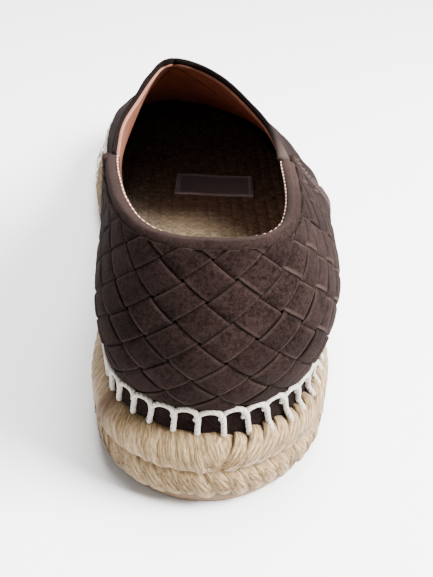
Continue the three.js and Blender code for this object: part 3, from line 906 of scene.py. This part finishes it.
SHEET_SHARES, SHEET_ACROSS, SHEET_PLACES, SHEET_REACH = heel_sheet_map()
HEEL_SECTION = float(section_length(np.array([0.0]))[0])
# the strips run a little way up under the hem
SHEET_TOP_SHARE = 1 - HEM_HEIGHT / HEEL_SECTION + 0.03


def on_sheet(across, up):
    """The place and share of a point of the flat sheet, and how far past the piece's edge it is."""
    share = np.clip(up / HEEL_SECTION, 0, SHEET_TOP_SHARE)
    s = share * (len(SHEET_SHARES) - 1)
    j = np.minimum(np.floor(s).astype(int), len(SHEET_SHARES) - 2)
    g = s - j
    column = np.clip((across - SHEET_ACROSS[0]) / (SHEET_ACROSS[1] - SHEET_ACROSS[0]), 0,
                     len(SHEET_ACROSS) - 1.001)
    i = np.floor(column).astype(int)
    f = column - i
    low = SHEET_PLACES[j, i] * (1 - f) + SHEET_PLACES[j, i + 1] * f
    high = SHEET_PLACES[j + 1, i] * (1 - f) + SHEET_PLACES[j + 1, i + 1] * f
    place = low * (1 - g) + high * g
    first = SHEET_REACH[j, 0] * (1 - g) + SHEET_REACH[j + 1, 0] * g
    last = SHEET_REACH[j, 1] * (1 - g) + SHEET_REACH[j + 1, 1] * g
    past = np.maximum.reduce([first - across, across - last, -up,
                              up - SHEET_TOP_SHARE * HEEL_SECTION])
    return place, share, past


# The section of a strip: places across it as shares of its width, and the top's height there
STRIP_ACROSS = np.array([-0.5, -0.482, -0.445, -0.37, -0.13, 0.13, 0.37, 0.445, 0.482, 0.5])
STRIP_TOP = np.array([0.3, 0.86, 1.0, 1.04, 1.06, 1.06, 1.04, 1.0, 0.86, 0.3])
STRIP_ORIGIN = np.array([3.0, 21.0])  # where the two middle strips cross on the flat sheet
STRIP_FLATTENED = 2.4  # how long a strip stays up or down before it goes to the other level


def woven_strips(name, family, material):
    """One of the two sets of strips. A strip runs straight over the flat sheet, and its height is
    a flattened cosine of the crossings it passes, up over one strip and down under the next."""
    rng = np.random.default_rng(20 + family)
    own, other = STRIP_ANGLES[family], STRIP_ANGLES[1 - family]
    own_way = np.array([math.cos(own), math.sin(own)])
    other_way = np.array([math.cos(other), math.sin(other)])
    slant = abs(math.sin(own - other))
    pitch = STRIP_PITCHES[family] / slant
    crossing_pitch = STRIP_PITCHES[1 - family] / slant
    steps = np.arange(-STRIP_REACH, STRIP_REACH, STRIP_STEP)
    from_middle = np.abs(STRIP_ACROSS)
    parts, faces, shades, runs = [], [], {"edge": [], "shadow": [], "tone": []}, []
    start = 0
    for number in range(-STRIP_COUNT, STRIP_COUNT + 1):
        wobble = rng.uniform(0, ROUND, 3)
        drift = 0.16 * np.sin(steps / 13 + wobble[0]) + 0.1 * np.sin(steps / 5.1 + wobble[1])
        width = STRIP_FILL * pitch * (1 + 0.02 * np.sin(steps / 9 + wobble[2]))
        side_way = STRIP_ACROSS[None, :] * width[:, None]
        flat = (STRIP_ORIGIN + (number * pitch + drift)[:, None, None] * other_way
                + steps[:, None, None] * own_way + side_way[..., None] * other_way)
        place, share, past = on_sheet(flat[..., 0], flat[..., 1])
        crossing = steps / crossing_pitch + number + family
        swing = np.tanh(STRIP_FLATTENED * np.cos(np.pi * crossing)) / math.tanh(STRIP_FLATTENED)
        centre = WEAVE_BASE + STRIP_RISE + STRIP_RISE * swing
        collapsed = past > 1.5 * STRIP_STEP
        lie = np.convolve(0.06 * rng.normal(size=len(steps)), np.ones(7) / 3, "same")
        thick = STRIP_THICKNESS * STRIP_TOP * (1 + 0.05 * swing[:, None])
        top = centre[:, None] + thick + lie[:, None]
        bottom = centre[:, None] + 0.1 * (from_middle > 0.45)
        middle = 0.5 * (top + bottom)
        top = np.where(collapsed, middle, top)
        bottom = np.where(collapsed, middle, bottom)
        under_side = on_upper(place, share, bottom)[:, ::-1]
        ring = np.concatenate([on_upper(place, share, top), under_side], 1)
        gone = np.concatenate([collapsed, collapsed[:, ::-1]], 1)
        quads = grid_faces(len(steps), 2 * len(STRIP_ACROSS), wrap_columns=True)
        quads = quads[~gone.ravel()[quads].all(1)]
        if not len(quads):
            continue
        used, quads = np.unique(quads, return_inverse=True)
        quads = quads.reshape(-1, 4)
        parts.append(ring.reshape(-1, 3)[used])
        faces.append(quads + start)
        start += len(used)
        # pale cut edges, with a painted highlight that makes them stronger on the side of a strip
        # that faces the light
        lit_side = np.where(STRIP_ACROSS < 0, 1.0, 0.4) if family else 0.6
        edge = smooth_step(0.41, 0.48, from_middle) * lit_side * rng.uniform(0.25, 0.9)
        edge = edge * (0.5 + 0.5 * np.sin(steps / 5 + wobble[1]) ** 2)[:, None]
        under = smooth_step(0.1, -0.8, swing)[:, None]
        shadow = np.clip(0.9 * under + 1.2 * smooth_step(0.478, 0.5, from_middle), 0, 1)
        tone = np.clip(0.5 + 0.22 * rng.normal() + 0.12 * np.sin(crossing * 2.1 + wobble[0]), 0, 1)
        # painted shade: darker towards the inner side and near the sole
        tone = tone[:, None] - smooth_step(10, -45, flat[..., 0]) * 0.3
        tone = tone - 0.12 * smooth_step(22, 0, flat[..., 1])
        for key, top_value in (("edge", edge), ("shadow", shadow), ("tone", tone)):
            low_value = np.ones_like(top_value) if key == "shadow" else top_value
            both = np.concatenate([top_value, low_value[:, ::-1]], 1)
            shades[key].append(both.ravel()[used])
        run = np.stack(np.broadcast_arrays(steps[:, None], side_way + number * pitch), -1)
        runs.append(np.concatenate([run, run[:, ::-1]], 1).reshape(-1, 2)[used])
    shades = {key: np.concatenate(value) for key, value in shades.items()}
    piece = make_piece(name, np.concatenate(parts), np.concatenate(faces), material,
                       uv=np.concatenate(runs), shades=shades)
    turn_faces_out(piece)
    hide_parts("upper")
    return piece


# x and y in the heel's frame, the turn of the crease's line, its half width and its height
CREASES = [
    (0, 174, 8, 3.2, -1.4),
    (6, 182, -6, 3.6, 0.8),
    (-8, 190, 10, 3.2, -1.0),
    (20, 150, 60, 3.2, -0.8),
    (30, 128, 66, 3.0, 0.7),
    (-24, 150, -58, 3.4, -0.6),
    (34, 112, 74, 2.4, -0.9),
    (12, 205, 0, 4.0, -0.35),
]
CREASE_REACH = 22  # along its line, to each side


def vamp_relief(points):
    """Soft troughs and ridges of the vamp, each a bell curve across a line in plan, at places
    that the foot bends and the last pulls."""
    x, y = points[..., 0], points[..., 1]
    relief = np.zeros(x.shape)
    for at_x, at_y, turned, width, height in CREASES:
        angle = math.radians(turned)
        away = (y - at_y) * math.cos(angle) - (x - at_x) * math.sin(angle)
        along = (x - at_x) * math.cos(angle) + (y - at_y) * math.sin(angle)
        relief += height * np.exp(-(away / width) ** 2) * np.exp(-(along / CREASE_REACH) ** 2)
    relief += 0.25 * np.sin(x / 6.3 + 1.1) * np.sin(y / 9.7) + 0.15 * np.sin(x / 3.1 + y / 4.3)
    # the deepest trough stays above the lining
    return np.tanh(relief)


def shell_grid(places, shares, outer_lift, inner_lift, relief=None):
    """Two sheets of the upper, outside and inside, over a grid of places and shares."""
    p, s = np.meshgrid(places, shares, indexing="ij")
    outside = on_upper(p, s, 0.0)
    extra = relief(outside) if relief else 0.0
    edge = smooth_step(0, 0.06, s) if relief else 1.0
    return on_upper(p, s, outer_lift + extra * edge), on_upper(p, s, inner_lift + extra * edge)


def sheet_piece(name, grids, material, shades):
    """A piece from pairs of grids: the outside, the inside turned round, and a strip along each
    edge. The edge at share 1 gets its strip only where the top is open."""
    parts, faces = [], []
    start = 0
    for outside, inside, open_top in grids:
        rows, columns = outside.shape[:2]
        count = rows * columns
        parts += [outside.reshape(-1, 3), inside.reshape(-1, 3)]
        front = grid_faces(rows, columns)
        index = np.arange(count).reshape(rows, columns)
        faces += [front + start, front[:, ::-1] + start + count]
        edges = [index[:, 0], index[0, ::-1], index[-1, :]]
        if open_top:
            edges.append(index[::-1, -1])
        for line in edges:
            strip = np.stack([line[:-1], line[1:], line[1:] + count, line[:-1] + count], -1)
            faces.append(strip[:, ::-1] + start)
        start += 2 * count
    return make_piece(name, np.concatenate(parts), np.concatenate(faces), material,
                      shades=shades)


SECTION_ABOUT = 60  # about how long a section is
PLACE_ABOUT = 16  # about how far the sections lie from each other


def wall_piece(name, first, last, outer_lift, inner_lift, material, relief=None,
               step=1.2):
    """A wall of the upper between two places on each side, from its foot to its top. In front of
    the throat the two sides meet along the middle, and at the toe they meet in a line."""
    shares = np.linspace(0, 1, int(SECTION_ABOUT / step) + 1)
    per_place = int(PLACE_ABOUT / step)
    grids = []
    flank_end = min(last, THROAT)
    flank = np.linspace(first, flank_end, int((flank_end - first) * per_place) + 1)
    spans = [(flank, True)]
    if last > THROAT:
        spans.append((np.linspace(THROAT, last, int((last - THROAT) * per_place) + 1), False))
    for places, open_top in spans:
        for sign in (1, -1):
            used = places if sign > 0 else -places[::-1]
            outside, inside = shell_grid(used, shares, outer_lift, inner_lift, relief)
            grids.append((outside, inside, open_top))
    piece = sheet_piece(name, grids, material, {"edge": 0.0, "shadow": 0.0, "tone": 0.5})
    weld_walls(piece)
    return piece


def weld_walls(piece):
    """Merges the grids of a wall where they meet, and drops the strips that end up inside it."""
    work = bmesh.new()
    work.from_mesh(piece.data)
    bmesh.ops.remove_doubles(work, verts=work.verts, dist=0.02 * MM)
    seen = {}
    for face in work.faces:
        seen.setdefault(frozenset(v.index for v in face.verts), []).append(face)
    double = [face for faces in seen.values() if len(faces) > 1 for face in faces]
    bmesh.ops.delete(work, geom=double, context="FACES_ONLY")
    bmesh.ops.recalc_face_normals(work, faces=work.faces)
    work.to_mesh(piece.data)
    work.free()


HEEL_STEP_OUT = 0.7  # how far the fold stands out under the heel piece


def past_heel_piece(turn):
    """0 at the turns of the heel piece and 1 in front of it."""
    return smooth_step(83, 89, np.minimum(turn, 360 - turn))


def fold_band(material):
    """The turned-in lower edge of the upper: a low wall all round, behind the stitches, whose
    top bends out under the wall above it."""
    count = 480
    distance = np.arange(count) * OUTLINE_LENGTH / count
    step = 1 - past_heel_piece(turn_at(distance))
    profile = [(-0.5, -4.6), (0.0, -3.8), (0.1, 1.0), (0.15, 5.4), (0.5, FOLD_HEIGHT + 0.4),
               (-1.6, FOLD_HEIGHT + 0.6), (-2.0, 3.0), (-2.0, -0.2), (-0.7, -0.3)]
    rings = np.stack([
        ring_points(distance, -UPPER_INSET + out + step * (HEEL_STEP_OUT if out > -0.5 else 0),
                    z_above_top=GAP + up)
        for out, up in profile
    ])
    faces = grid_faces(len(profile), count, wrap_rows=True, wrap_columns=True)
    piece = make_piece("fold_band", rings, faces, material,
                       shades={"edge": 0.0, "shadow": 0.25, "tone": 0.3})
    turn_faces_out(piece)
    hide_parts("upper")
    return piece


def swept_band(name, rows, material, shades):
    """A closed section carried along a path: rows is steps by section points."""
    steps, sides = rows.shape[:2]
    piece = make_piece(name, rows, grid_faces(steps, sides, wrap_columns=True), material,
                       shades=shades, ngons=end_faces(steps, sides))
    turn_faces_out(piece)
    return piece


# The hem's section: millimetres below the top of the wall, and how far out of the wall
HEM = [
    (HEM_HEIGHT, 0.2), (HEM_HEIGHT + 0.1, 1.3), (HEM_HEIGHT - 0.3, 1.6), (2.1, 1.62), (1.0, 1.55),
    (0.3, 1.3), (-0.15, 0.8), (-0.35, 0.1), (-0.35, -0.8), (-0.05, -1.6), (0.6, -2.1), (2.0, -2.3),
    (3.4, -2.2), (3.4, -1.5), (1.5, -1.1), (1.5, 0.2),
]


def hem_band(material):
    """The smooth hem along the top of the heel piece, turned over its edge to the inside. Each
    point of its section runs along the top at its own depth, in low waves."""
    places = np.linspace(-HEEL_CORNER - 0.02, HEEL_CORNER + 0.02, 300)
    length = section_length(places)
    wave = 0.12 * np.sin(places * 4.1) + 0.08 * np.sin(places * 9.3 + 1)
    rows = np.stack([on_upper(places, 1 - (down + (wave if down > 2.5 else 0)) / length,
                              lift + 0.06 * np.sin(places * 7 + down)) for down, lift in HEM], 1)
    edge = np.zeros(rows.shape[:2])
    edge[:, 6:9] = 0.12
    edge[:, 1] = 0.3
    # painted highlight: lighter towards the outer side, which faces the key light
    outer = smooth_step(2.0, 6.0, places)[:, None]
    shades = {"edge": (edge + 0.06 + 0.14 * outer).ravel(), "shadow": 0.0,
              "tone": (0.5 + 0.5 * outer + np.zeros(rows.shape[:2])).ravel()}
    piece = swept_band("hem_band", rows, material, shades)
    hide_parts("upper")
    return piece


# The front edge's section: how much of a place behind the edge, and how far out of the wall
FRONT_EDGE = [
    (0.34, 0.4), (0.36, 1.6), (0.29, 2.3), (0.16, 2.5), (0.03, 2.35), (-0.06, 1.7), (-0.07, 0.9),
    (-0.04, 0.35), (0.2, 0.2),
]
FRONT_SEAMS = (0.06, 0.25)  # how much of a place each row of stitches lies behind the edge


def front_band(name, sign, material, thread):
    """The turned front edge of the heel piece, from the sole up to the hem: its section carried
    up the line where the piece ends, and two rows of stitches on it."""
    shares = np.linspace(0, 1, 90)
    end = heel_piece_end(shares)
    rows = np.stack([on_upper(sign * (end - back), shares, lift) for back, lift in FRONT_EDGE], 1)
    edge = np.zeros(rows.shape[:2])
    edge[:, 2:5] = 0.16
    piece = swept_band(name, rows, material,
                       {"edge": edge.ravel(), "shadow": 0.0, "tone": 0.7})
    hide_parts("upper")
    for row, back in enumerate(FRONT_SEAMS, 1):
        place = sign * (end - back)
        path = on_upper(place, shares, 2.42)[4:-4]
        outs = path - on_upper(place, shares, 1.0)[4:-4]
        seam = stitch_row(f"{name}_stitches_{row}", path, outs, 1.5, 0.9, 0.2, thread,
                          {"shadow": 0.0})
        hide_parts("upper")
    return piece


def topline_path(lift, above):
    """The path along the vamp's open edge: up the inner side, round the throat, down the outer."""
    half = np.linspace(HEEL_CORNER - 0.1, THROAT, 150)
    inner = on_upper(-half, 1 + above / section_length(half), lift)
    outer = on_upper(half[::-1], 1 + above / section_length(half[::-1]), lift)
    return smoothed(np.concatenate([inner, outer[1:]]), 12)


def cord_along(name, path, half_width, half_depth, material, shades, sides):
    """One tube along a path, with its depth measured upwards."""
    points, faces, ends, uv = tubes(path[None], upright(path)[None], half_width, half_depth, sides)
    piece = make_piece(name, points, faces, material, uv=uv, shades=shades, ngons=ends)
    turn_faces_out(piece)
    return piece


def stitch_row(name, path, outs, length, gap, radius, material, shades):
    """Short stitches along a path, each a small arch that goes in at both ends."""
    run = run_along(path)
    starts = np.arange(0.5, run[-1] - length, length + gap)
    steps = np.linspace(0, 1, 6)
    at = starts[:, None] + steps * length
    points = np.stack([np.interp(at, run, path[:, k]) for k in range(3)], -1)
    way = np.stack([np.interp(at, run, outs[:, k]) for k in range(3)], -1)
    rise = radius * (1.6 * np.sin(np.pi * steps) - 0.8)
    paths = points + unit(way) * rise[None, :, None]
    made, faces, ends, uv = tubes(paths, way, radius, radius * 0.8, 6)
    piece = make_piece(name, made, faces, material, uv=uv, shades=shades, ngons=ends)
    turn_faces_out(piece)
    return piece


def bindings(suede_edge, lining_edge):
    """The dark rolled edge along the vamp's opening, and the pale edge of the lining inside it.
    The dark one widens to a small corner, made lighter by a painted highlight, where it goes under
    the heel piece's outer corner."""
    sides = 10
    path = topline_path(-0.85, 0.35)
    to_corner = smooth_step(0.86, 1, np.linspace(0, 1, len(path)))
    # painted highlight: the edge colour brightens the widened corner
    shades = {"edge": np.repeat(0.9 * to_corner, sides), "shadow": 0.0, "tone": 0.4}
    binding = cord_along("throat_binding", path, 0.62 + 1.1 * to_corner, 1.15, suede_edge,
                         shades, sides)
    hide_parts("upper")
    cord_along("lining_edge", topline_path(-1.95, -0.7), 0.24, 0.34, lining_edge,
               {"shadow": 0.0}, 6)


def collar_stitches(thread):
    """Fine stitches along the inside of the hem, round the back of the collar."""
    places = np.linspace(-HEEL_CORNER, HEEL_CORNER, 400)
    path = on_upper(places, 1 - 0.2 / section_length(places), -1.75)
    seam = stitch_row("collar_stitches", path, upright(path), 1.9, 0.5, 0.24, thread,
                      {"shadow": 0.0})
    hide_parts("upper")


YARN_LINE = FOLD_HEIGHT - YARN_BELOW_FOLD
# A stitch's way: along the line, height over the jute, how far out of the jute's widest line, and
# its half width
YARN_WAY = np.array([
    [-7.5, YARN_LINE - 3.6, -3.1, 0.6],
    [-7.1, YARN_LINE - 2.3, -2.8, 0.8],
    [-6.4, YARN_LINE - 1.1, -2.5, 0.9],
    [-5.2, YARN_LINE - 0.3, -2.4, 0.86],
    [-3.7, YARN_LINE + 0.1, -2.3, 0.84],
    [-2.2, YARN_LINE, -2.3, 0.88],
    [-1.1, YARN_LINE - 0.4, -2.3, 0.98],
    [-0.4, YARN_LINE - 1.3, -2.35, 1.0],
    [0.0, YARN_LINE - 2.6, -2.45, 0.96],
    [0.0, YARN_LINE - 3.8, -2.6, 0.9],
    [0.0, YARN_LINE - 5.1, -2.7, 0.88],
    [0.0, YARN_LINE - 6.4, -2.75, 0.9],
    [0.0, YARN_LINE - 7.5, -2.9, 0.98],
    [0.0, YARN_LINE - 8.6, -3.6, 0.9],
    [0.0, YARN_LINE - 9.6, -4.9, 0.6],
])


def blanket_yarn(material):
    """The blanket stitches: each comes along the line from the one before, turns down over the
    fold and goes into the side of the jute."""
    rng = np.random.default_rng(7)
    pitch = OUTLINE_LENGTH / STITCHES
    middle = (np.arange(STITCHES) + 0.5) * pitch + rng.normal(0, 0.25, STITCHES)
    shape = smoothed(spread_rows(YARN_WAY, 30), 2)
    lean = STITCH_SLANT * (1 + 0.3 * rng.normal(size=STITCHES))
    down = np.clip((YARN_LINE - shape[:, 1]) / YARN_LINE, 0, 1.3)
    along = middle[:, None] + shape[None, :, 0]
    # the stitches lean away from the middle of the back, and stand upright there
    forward = np.tanh(np.where(along < OUTLINE_LENGTH / 2, along, along - OUTLINE_LENGTH) / 16)
    along = along + forward * lean[:, None] * down[None]
    turn = turn_at(along)
    out = shape[None, :, 2] - 0.8 * past_heel_piece(turn) * (shape[None, :, 1] > 0)
    out = out + 0.12 * rng.normal(size=(STITCHES, 1))
    # on the outer side of the back the ends lie over the braid
    over = smooth_step(4, 22, turn) * smooth_step(84, 66, turn)
    end = smooth_step(YARN_LINE - 6.0, YARN_LINE - 9.4, shape[:, 1])[None]
    out = out + 3.2 * over * end
    plan = outline(turn, out)
    z = sole_top(plan[..., 1]) + GAP + shape[None, :, 1] + 0.15 * rng.normal(size=(STITCHES, 1))
    z = z - 1.6 * over * end
    paths = np.concatenate([plan, z[..., None]], -1)
    thick = shape[None, :, 3]
    points, faces, ends, uv = tubes(paths, level_outs(turn), thick * 0.82, thick * 0.85, 10)
    low = smooth_step(-1.2, -3.0, shape[:, 1])[None, :, None]
    shadow = np.broadcast_to(0.5 * low, points.shape[:3]).ravel()
    piece = make_piece("blanket_yarn", points, faces, material, uv=uv, ngons=ends,
                       shades={"shadow": shadow})
    turn_faces_out(piece)
    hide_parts("stitch_yarn")
    return piece


LABEL_WIDTH = 30
LABEL_DEPTH = 20
LABEL_AT = (7.4, 159)
LABEL_TURN = 3.3
LABEL_HEM = 1.6


def label_patch(cloth):
    """A thin patch that follows the insole, with a folded border, held by stitches at its ends."""
    columns, rows = 60, 40
    u, v = np.meshgrid(np.linspace(-0.5, 0.5, columns), np.linspace(-0.5, 0.5, rows), indexing="ij")
    angle = math.radians(LABEL_TURN)

    def placed(x, y, lift):
        """A point of the patch, turned, moved to its place and lifted off the insole."""
        px = LABEL_AT[0] + x * math.cos(angle) + y * math.sin(angle)
        py = LABEL_AT[1] - x * math.sin(angle) + y * math.cos(angle)
        return np.stack([px, py, sole_top(py) + INSOLE_THICKNESS + 2 * GAP + 0.25 + lift], -1)

    border = np.maximum(np.abs(u) * LABEL_WIDTH - (LABEL_WIDTH / 2 - LABEL_HEM),
                        np.abs(v) * LABEL_DEPTH - (LABEL_DEPTH / 2 - LABEL_HEM))
    hem = smooth_step(-0.4, 0.3, border)
    wave = 0.12 * np.sin(u * 9 + 1) * np.cos(v * 7)
    top = placed(u * LABEL_WIDTH, v * LABEL_DEPTH, 0.55 + 0.22 * hem + wave)
    bottom = placed(u * LABEL_WIDTH, v * LABEL_DEPTH, 0.05)
    patch = sheet_piece("label_patch", [(top, bottom, True)], cloth,
                        {"edge": np.concatenate([0.9 * hem.ravel(), 0 * hem.ravel()])})
    turn_faces_out(patch)
    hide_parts("insole_label")
    t = np.linspace(-0.5, 0.5, 40)
    for name, x in (("label_stitches_inner", -0.5), ("label_stitches_outer", 0.5)):
        path = placed(x * (LABEL_WIDTH - LABEL_HEM) + 0 * t, t * (LABEL_DEPTH - LABEL_HEM), 0.85)
        stitch_row(name, path, upright(path), 1.3, 0.6, 0.16, cloth, {"shadow": 0.0})
    return patch


FLOOR_REACH = 3.0
FLOOR_GREY = 0.8
SKY_STRENGTH = 0.45
# Each light's name, place in metres, size and power
LIGHTS = [
    ("key", (0.62, -0.3, 0.7), 0.5, 70.0),
    ("fill", (-0.6, -0.5, 0.5), 0.8, 0.8),
    ("top", (0.05, 0.0, 1.1), 0.5, 30.0),
    ("back", (0.1, 0.6, 0.8), 0.8, 6.0),
]


def stage_and_light():
    """A pale floor, a soft light from the outer side behind the heel, and weaker ones above."""
    floor_mesh = bpy.data.meshes.new("floor")
    square = ((-1, -1), (1, -1), (1, 1), (-1, 1))
    corners = [(FLOOR_REACH * x, FLOOR_REACH * y, 0) for x, y in square]
    floor_mesh.from_pydata(corners, [], [(0, 1, 2, 3)])
    floor = bpy.data.objects.new("floor", floor_mesh)
    bpy.context.scene.collection.objects.link(floor)
    pale = bpy.data.materials.new("pale_floor")
    pale.use_nodes = True
    shader = pale.node_tree.nodes["Principled BSDF"]
    shader.inputs["Base Color"].default_value = (*(FLOOR_GREY,) * 3, 1)
    shader.inputs["Roughness"].default_value = 0.8
    floor_mesh.materials.append(pale)
    world = bpy.data.worlds.new("soft_sky")
    bpy.context.scene.world = world
    world.use_nodes = True
    sky = world.node_tree.nodes["Background"]
    sky.inputs["Color"].default_value = (1, 1, 1, 1)
    sky.inputs["Strength"].default_value = SKY_STRENGTH
    for name, at, size, power in LIGHTS:
        lamp = bpy.data.lights.new(name, "AREA")
        lamp.size = size
        lamp.energy = power
        holder = bpy.data.objects.new(name, lamp)
        holder.location = at
        holder.rotation_euler = (-Vector(at)).to_track_quat("-Z", "Y").to_euler()
        bpy.context.scene.collection.objects.link(holder)


# The camera stands close behind the heel. Its place and way were fitted to the photo's outline
CAMERA_AT = (-16.71, -326.55, 188.6)
CAMERA_FORWARD = (-0.0526, 0.9213, -0.3853)
CAMERA_RIGHT = (0.9984, 0.057, 0)
CAMERA_UP = (-0.022, 0.3847, 0.9228)
AIM = (0.107, -0.147)  # how far the picture's middle lies to the right and up of that way
LENS = 63.6
SENSOR_WIDTH = 36


def camera():
    """A camera at the fitted place, turned to put the one shoe in the middle of the picture."""
    right, up, forward = (Vector(v).normalized() for v in (CAMERA_RIGHT, CAMERA_UP, CAMERA_FORWARD))
    back = -(forward + AIM[0] * right + AIM[1] * up).normalized()
    side = up.cross(back).normalized()
    data = bpy.data.cameras.new("camera")
    data.lens = LENS
    data.sensor_width = SENSOR_WIDTH
    data.clip_start = 0.01
    holder = bpy.data.objects.new("camera", data)
    turned = Matrix((side, back.cross(side), back)).transposed()
    holder.matrix_world = Matrix.Translation(Vector(CAMERA_AT) * MM) @ turned.to_4x4()
    bpy.context.scene.collection.objects.link(holder)
    bpy.context.scene.camera = holder


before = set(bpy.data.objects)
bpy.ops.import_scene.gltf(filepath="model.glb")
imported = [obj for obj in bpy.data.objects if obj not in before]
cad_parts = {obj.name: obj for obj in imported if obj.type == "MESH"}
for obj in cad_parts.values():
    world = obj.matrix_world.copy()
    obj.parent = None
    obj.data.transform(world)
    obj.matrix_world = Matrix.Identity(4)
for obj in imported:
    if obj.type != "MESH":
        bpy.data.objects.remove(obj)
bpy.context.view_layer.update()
camera()
stage_and_light()

DARK_SUEDE = suede("brown_suede", (0.003, 0.0016, 0.0014), (0.0146, 0.0082, 0.0073),
                   (0.06, 0.04, 0.034))
BOUND_EDGE = suede("dark_binding", (0.0016, 0.001, 0.001), (0.006, 0.0036, 0.0034),
                   (0.05, 0.035, 0.031))
BRAID = jute("natural_jute", (0.048, 0.024, 0.0075), (0.185, 0.114, 0.05), (0.43, 0.32, 0.178))
INSOLE_BRAID = jute("insole_jute", (0.085, 0.055, 0.03), (0.235, 0.17, 0.1), (0.4, 0.315, 0.2),
                    fibre=2300, strength=1.0)
COTTON = cotton()
LINING = smooth_leather("russet_lining", (0.12, 0.042, 0.024), (0.2, 0.075, 0.045))
PINK_EDGE = smooth_leather("pink_edge", (0.16, 0.08, 0.058), (0.25, 0.14, 0.105))
THREAD = smooth_leather("cream_thread", (0.34, 0.25, 0.2), (0.5, 0.4, 0.33))
SUEDE_THREAD = smooth_leather("brown_thread", (0.03, 0.019, 0.016), (0.06, 0.04, 0.035))
RUBBER = plain_rubber()
PATCH = label_cloth()

rubber_outsole(RUBBER)
jute_core(BRAID)
braid_row("braid_upper_row", UPPER_STRAND, 11, BRAID)
braid_row("braid_lower_row", LOWER_STRAND, 12, BRAID)
rim_band(BRAID)
loose_fibres(BRAID)
insole(INSOLE_BRAID)

# The vamp starts under the heel piece, and the backing of the strips ends over it
vamp = wall_piece("vamp", VAMP_START, LAST, 0.0, -1.1, DARK_SUEDE, vamp_relief)
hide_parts("upper")
backing = wall_piece("heel_backing", 0.0, VAMP_START + 0.05, 0.05, -1.0, BOUND_EDGE)
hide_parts("upper")
lining = wall_piece("lining", 0.0, LAST, -1.2, -WALL, LINING, step=1.8)
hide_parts("upper")
fold_band(DARK_SUEDE)
woven_strips("strips_up", 0, DARK_SUEDE)
woven_strips("strips_down", 1, DARK_SUEDE)
hem_band(DARK_SUEDE)
front_band("front_band_outer", 1, DARK_SUEDE, SUEDE_THREAD)
front_band("front_band_inner", -1, DARK_SUEDE, SUEDE_THREAD)
bindings(BOUND_EDGE, PINK_EDGE)
collar_stitches(THREAD)
blanket_yarn(COTTON)
label_patch(PATCH)
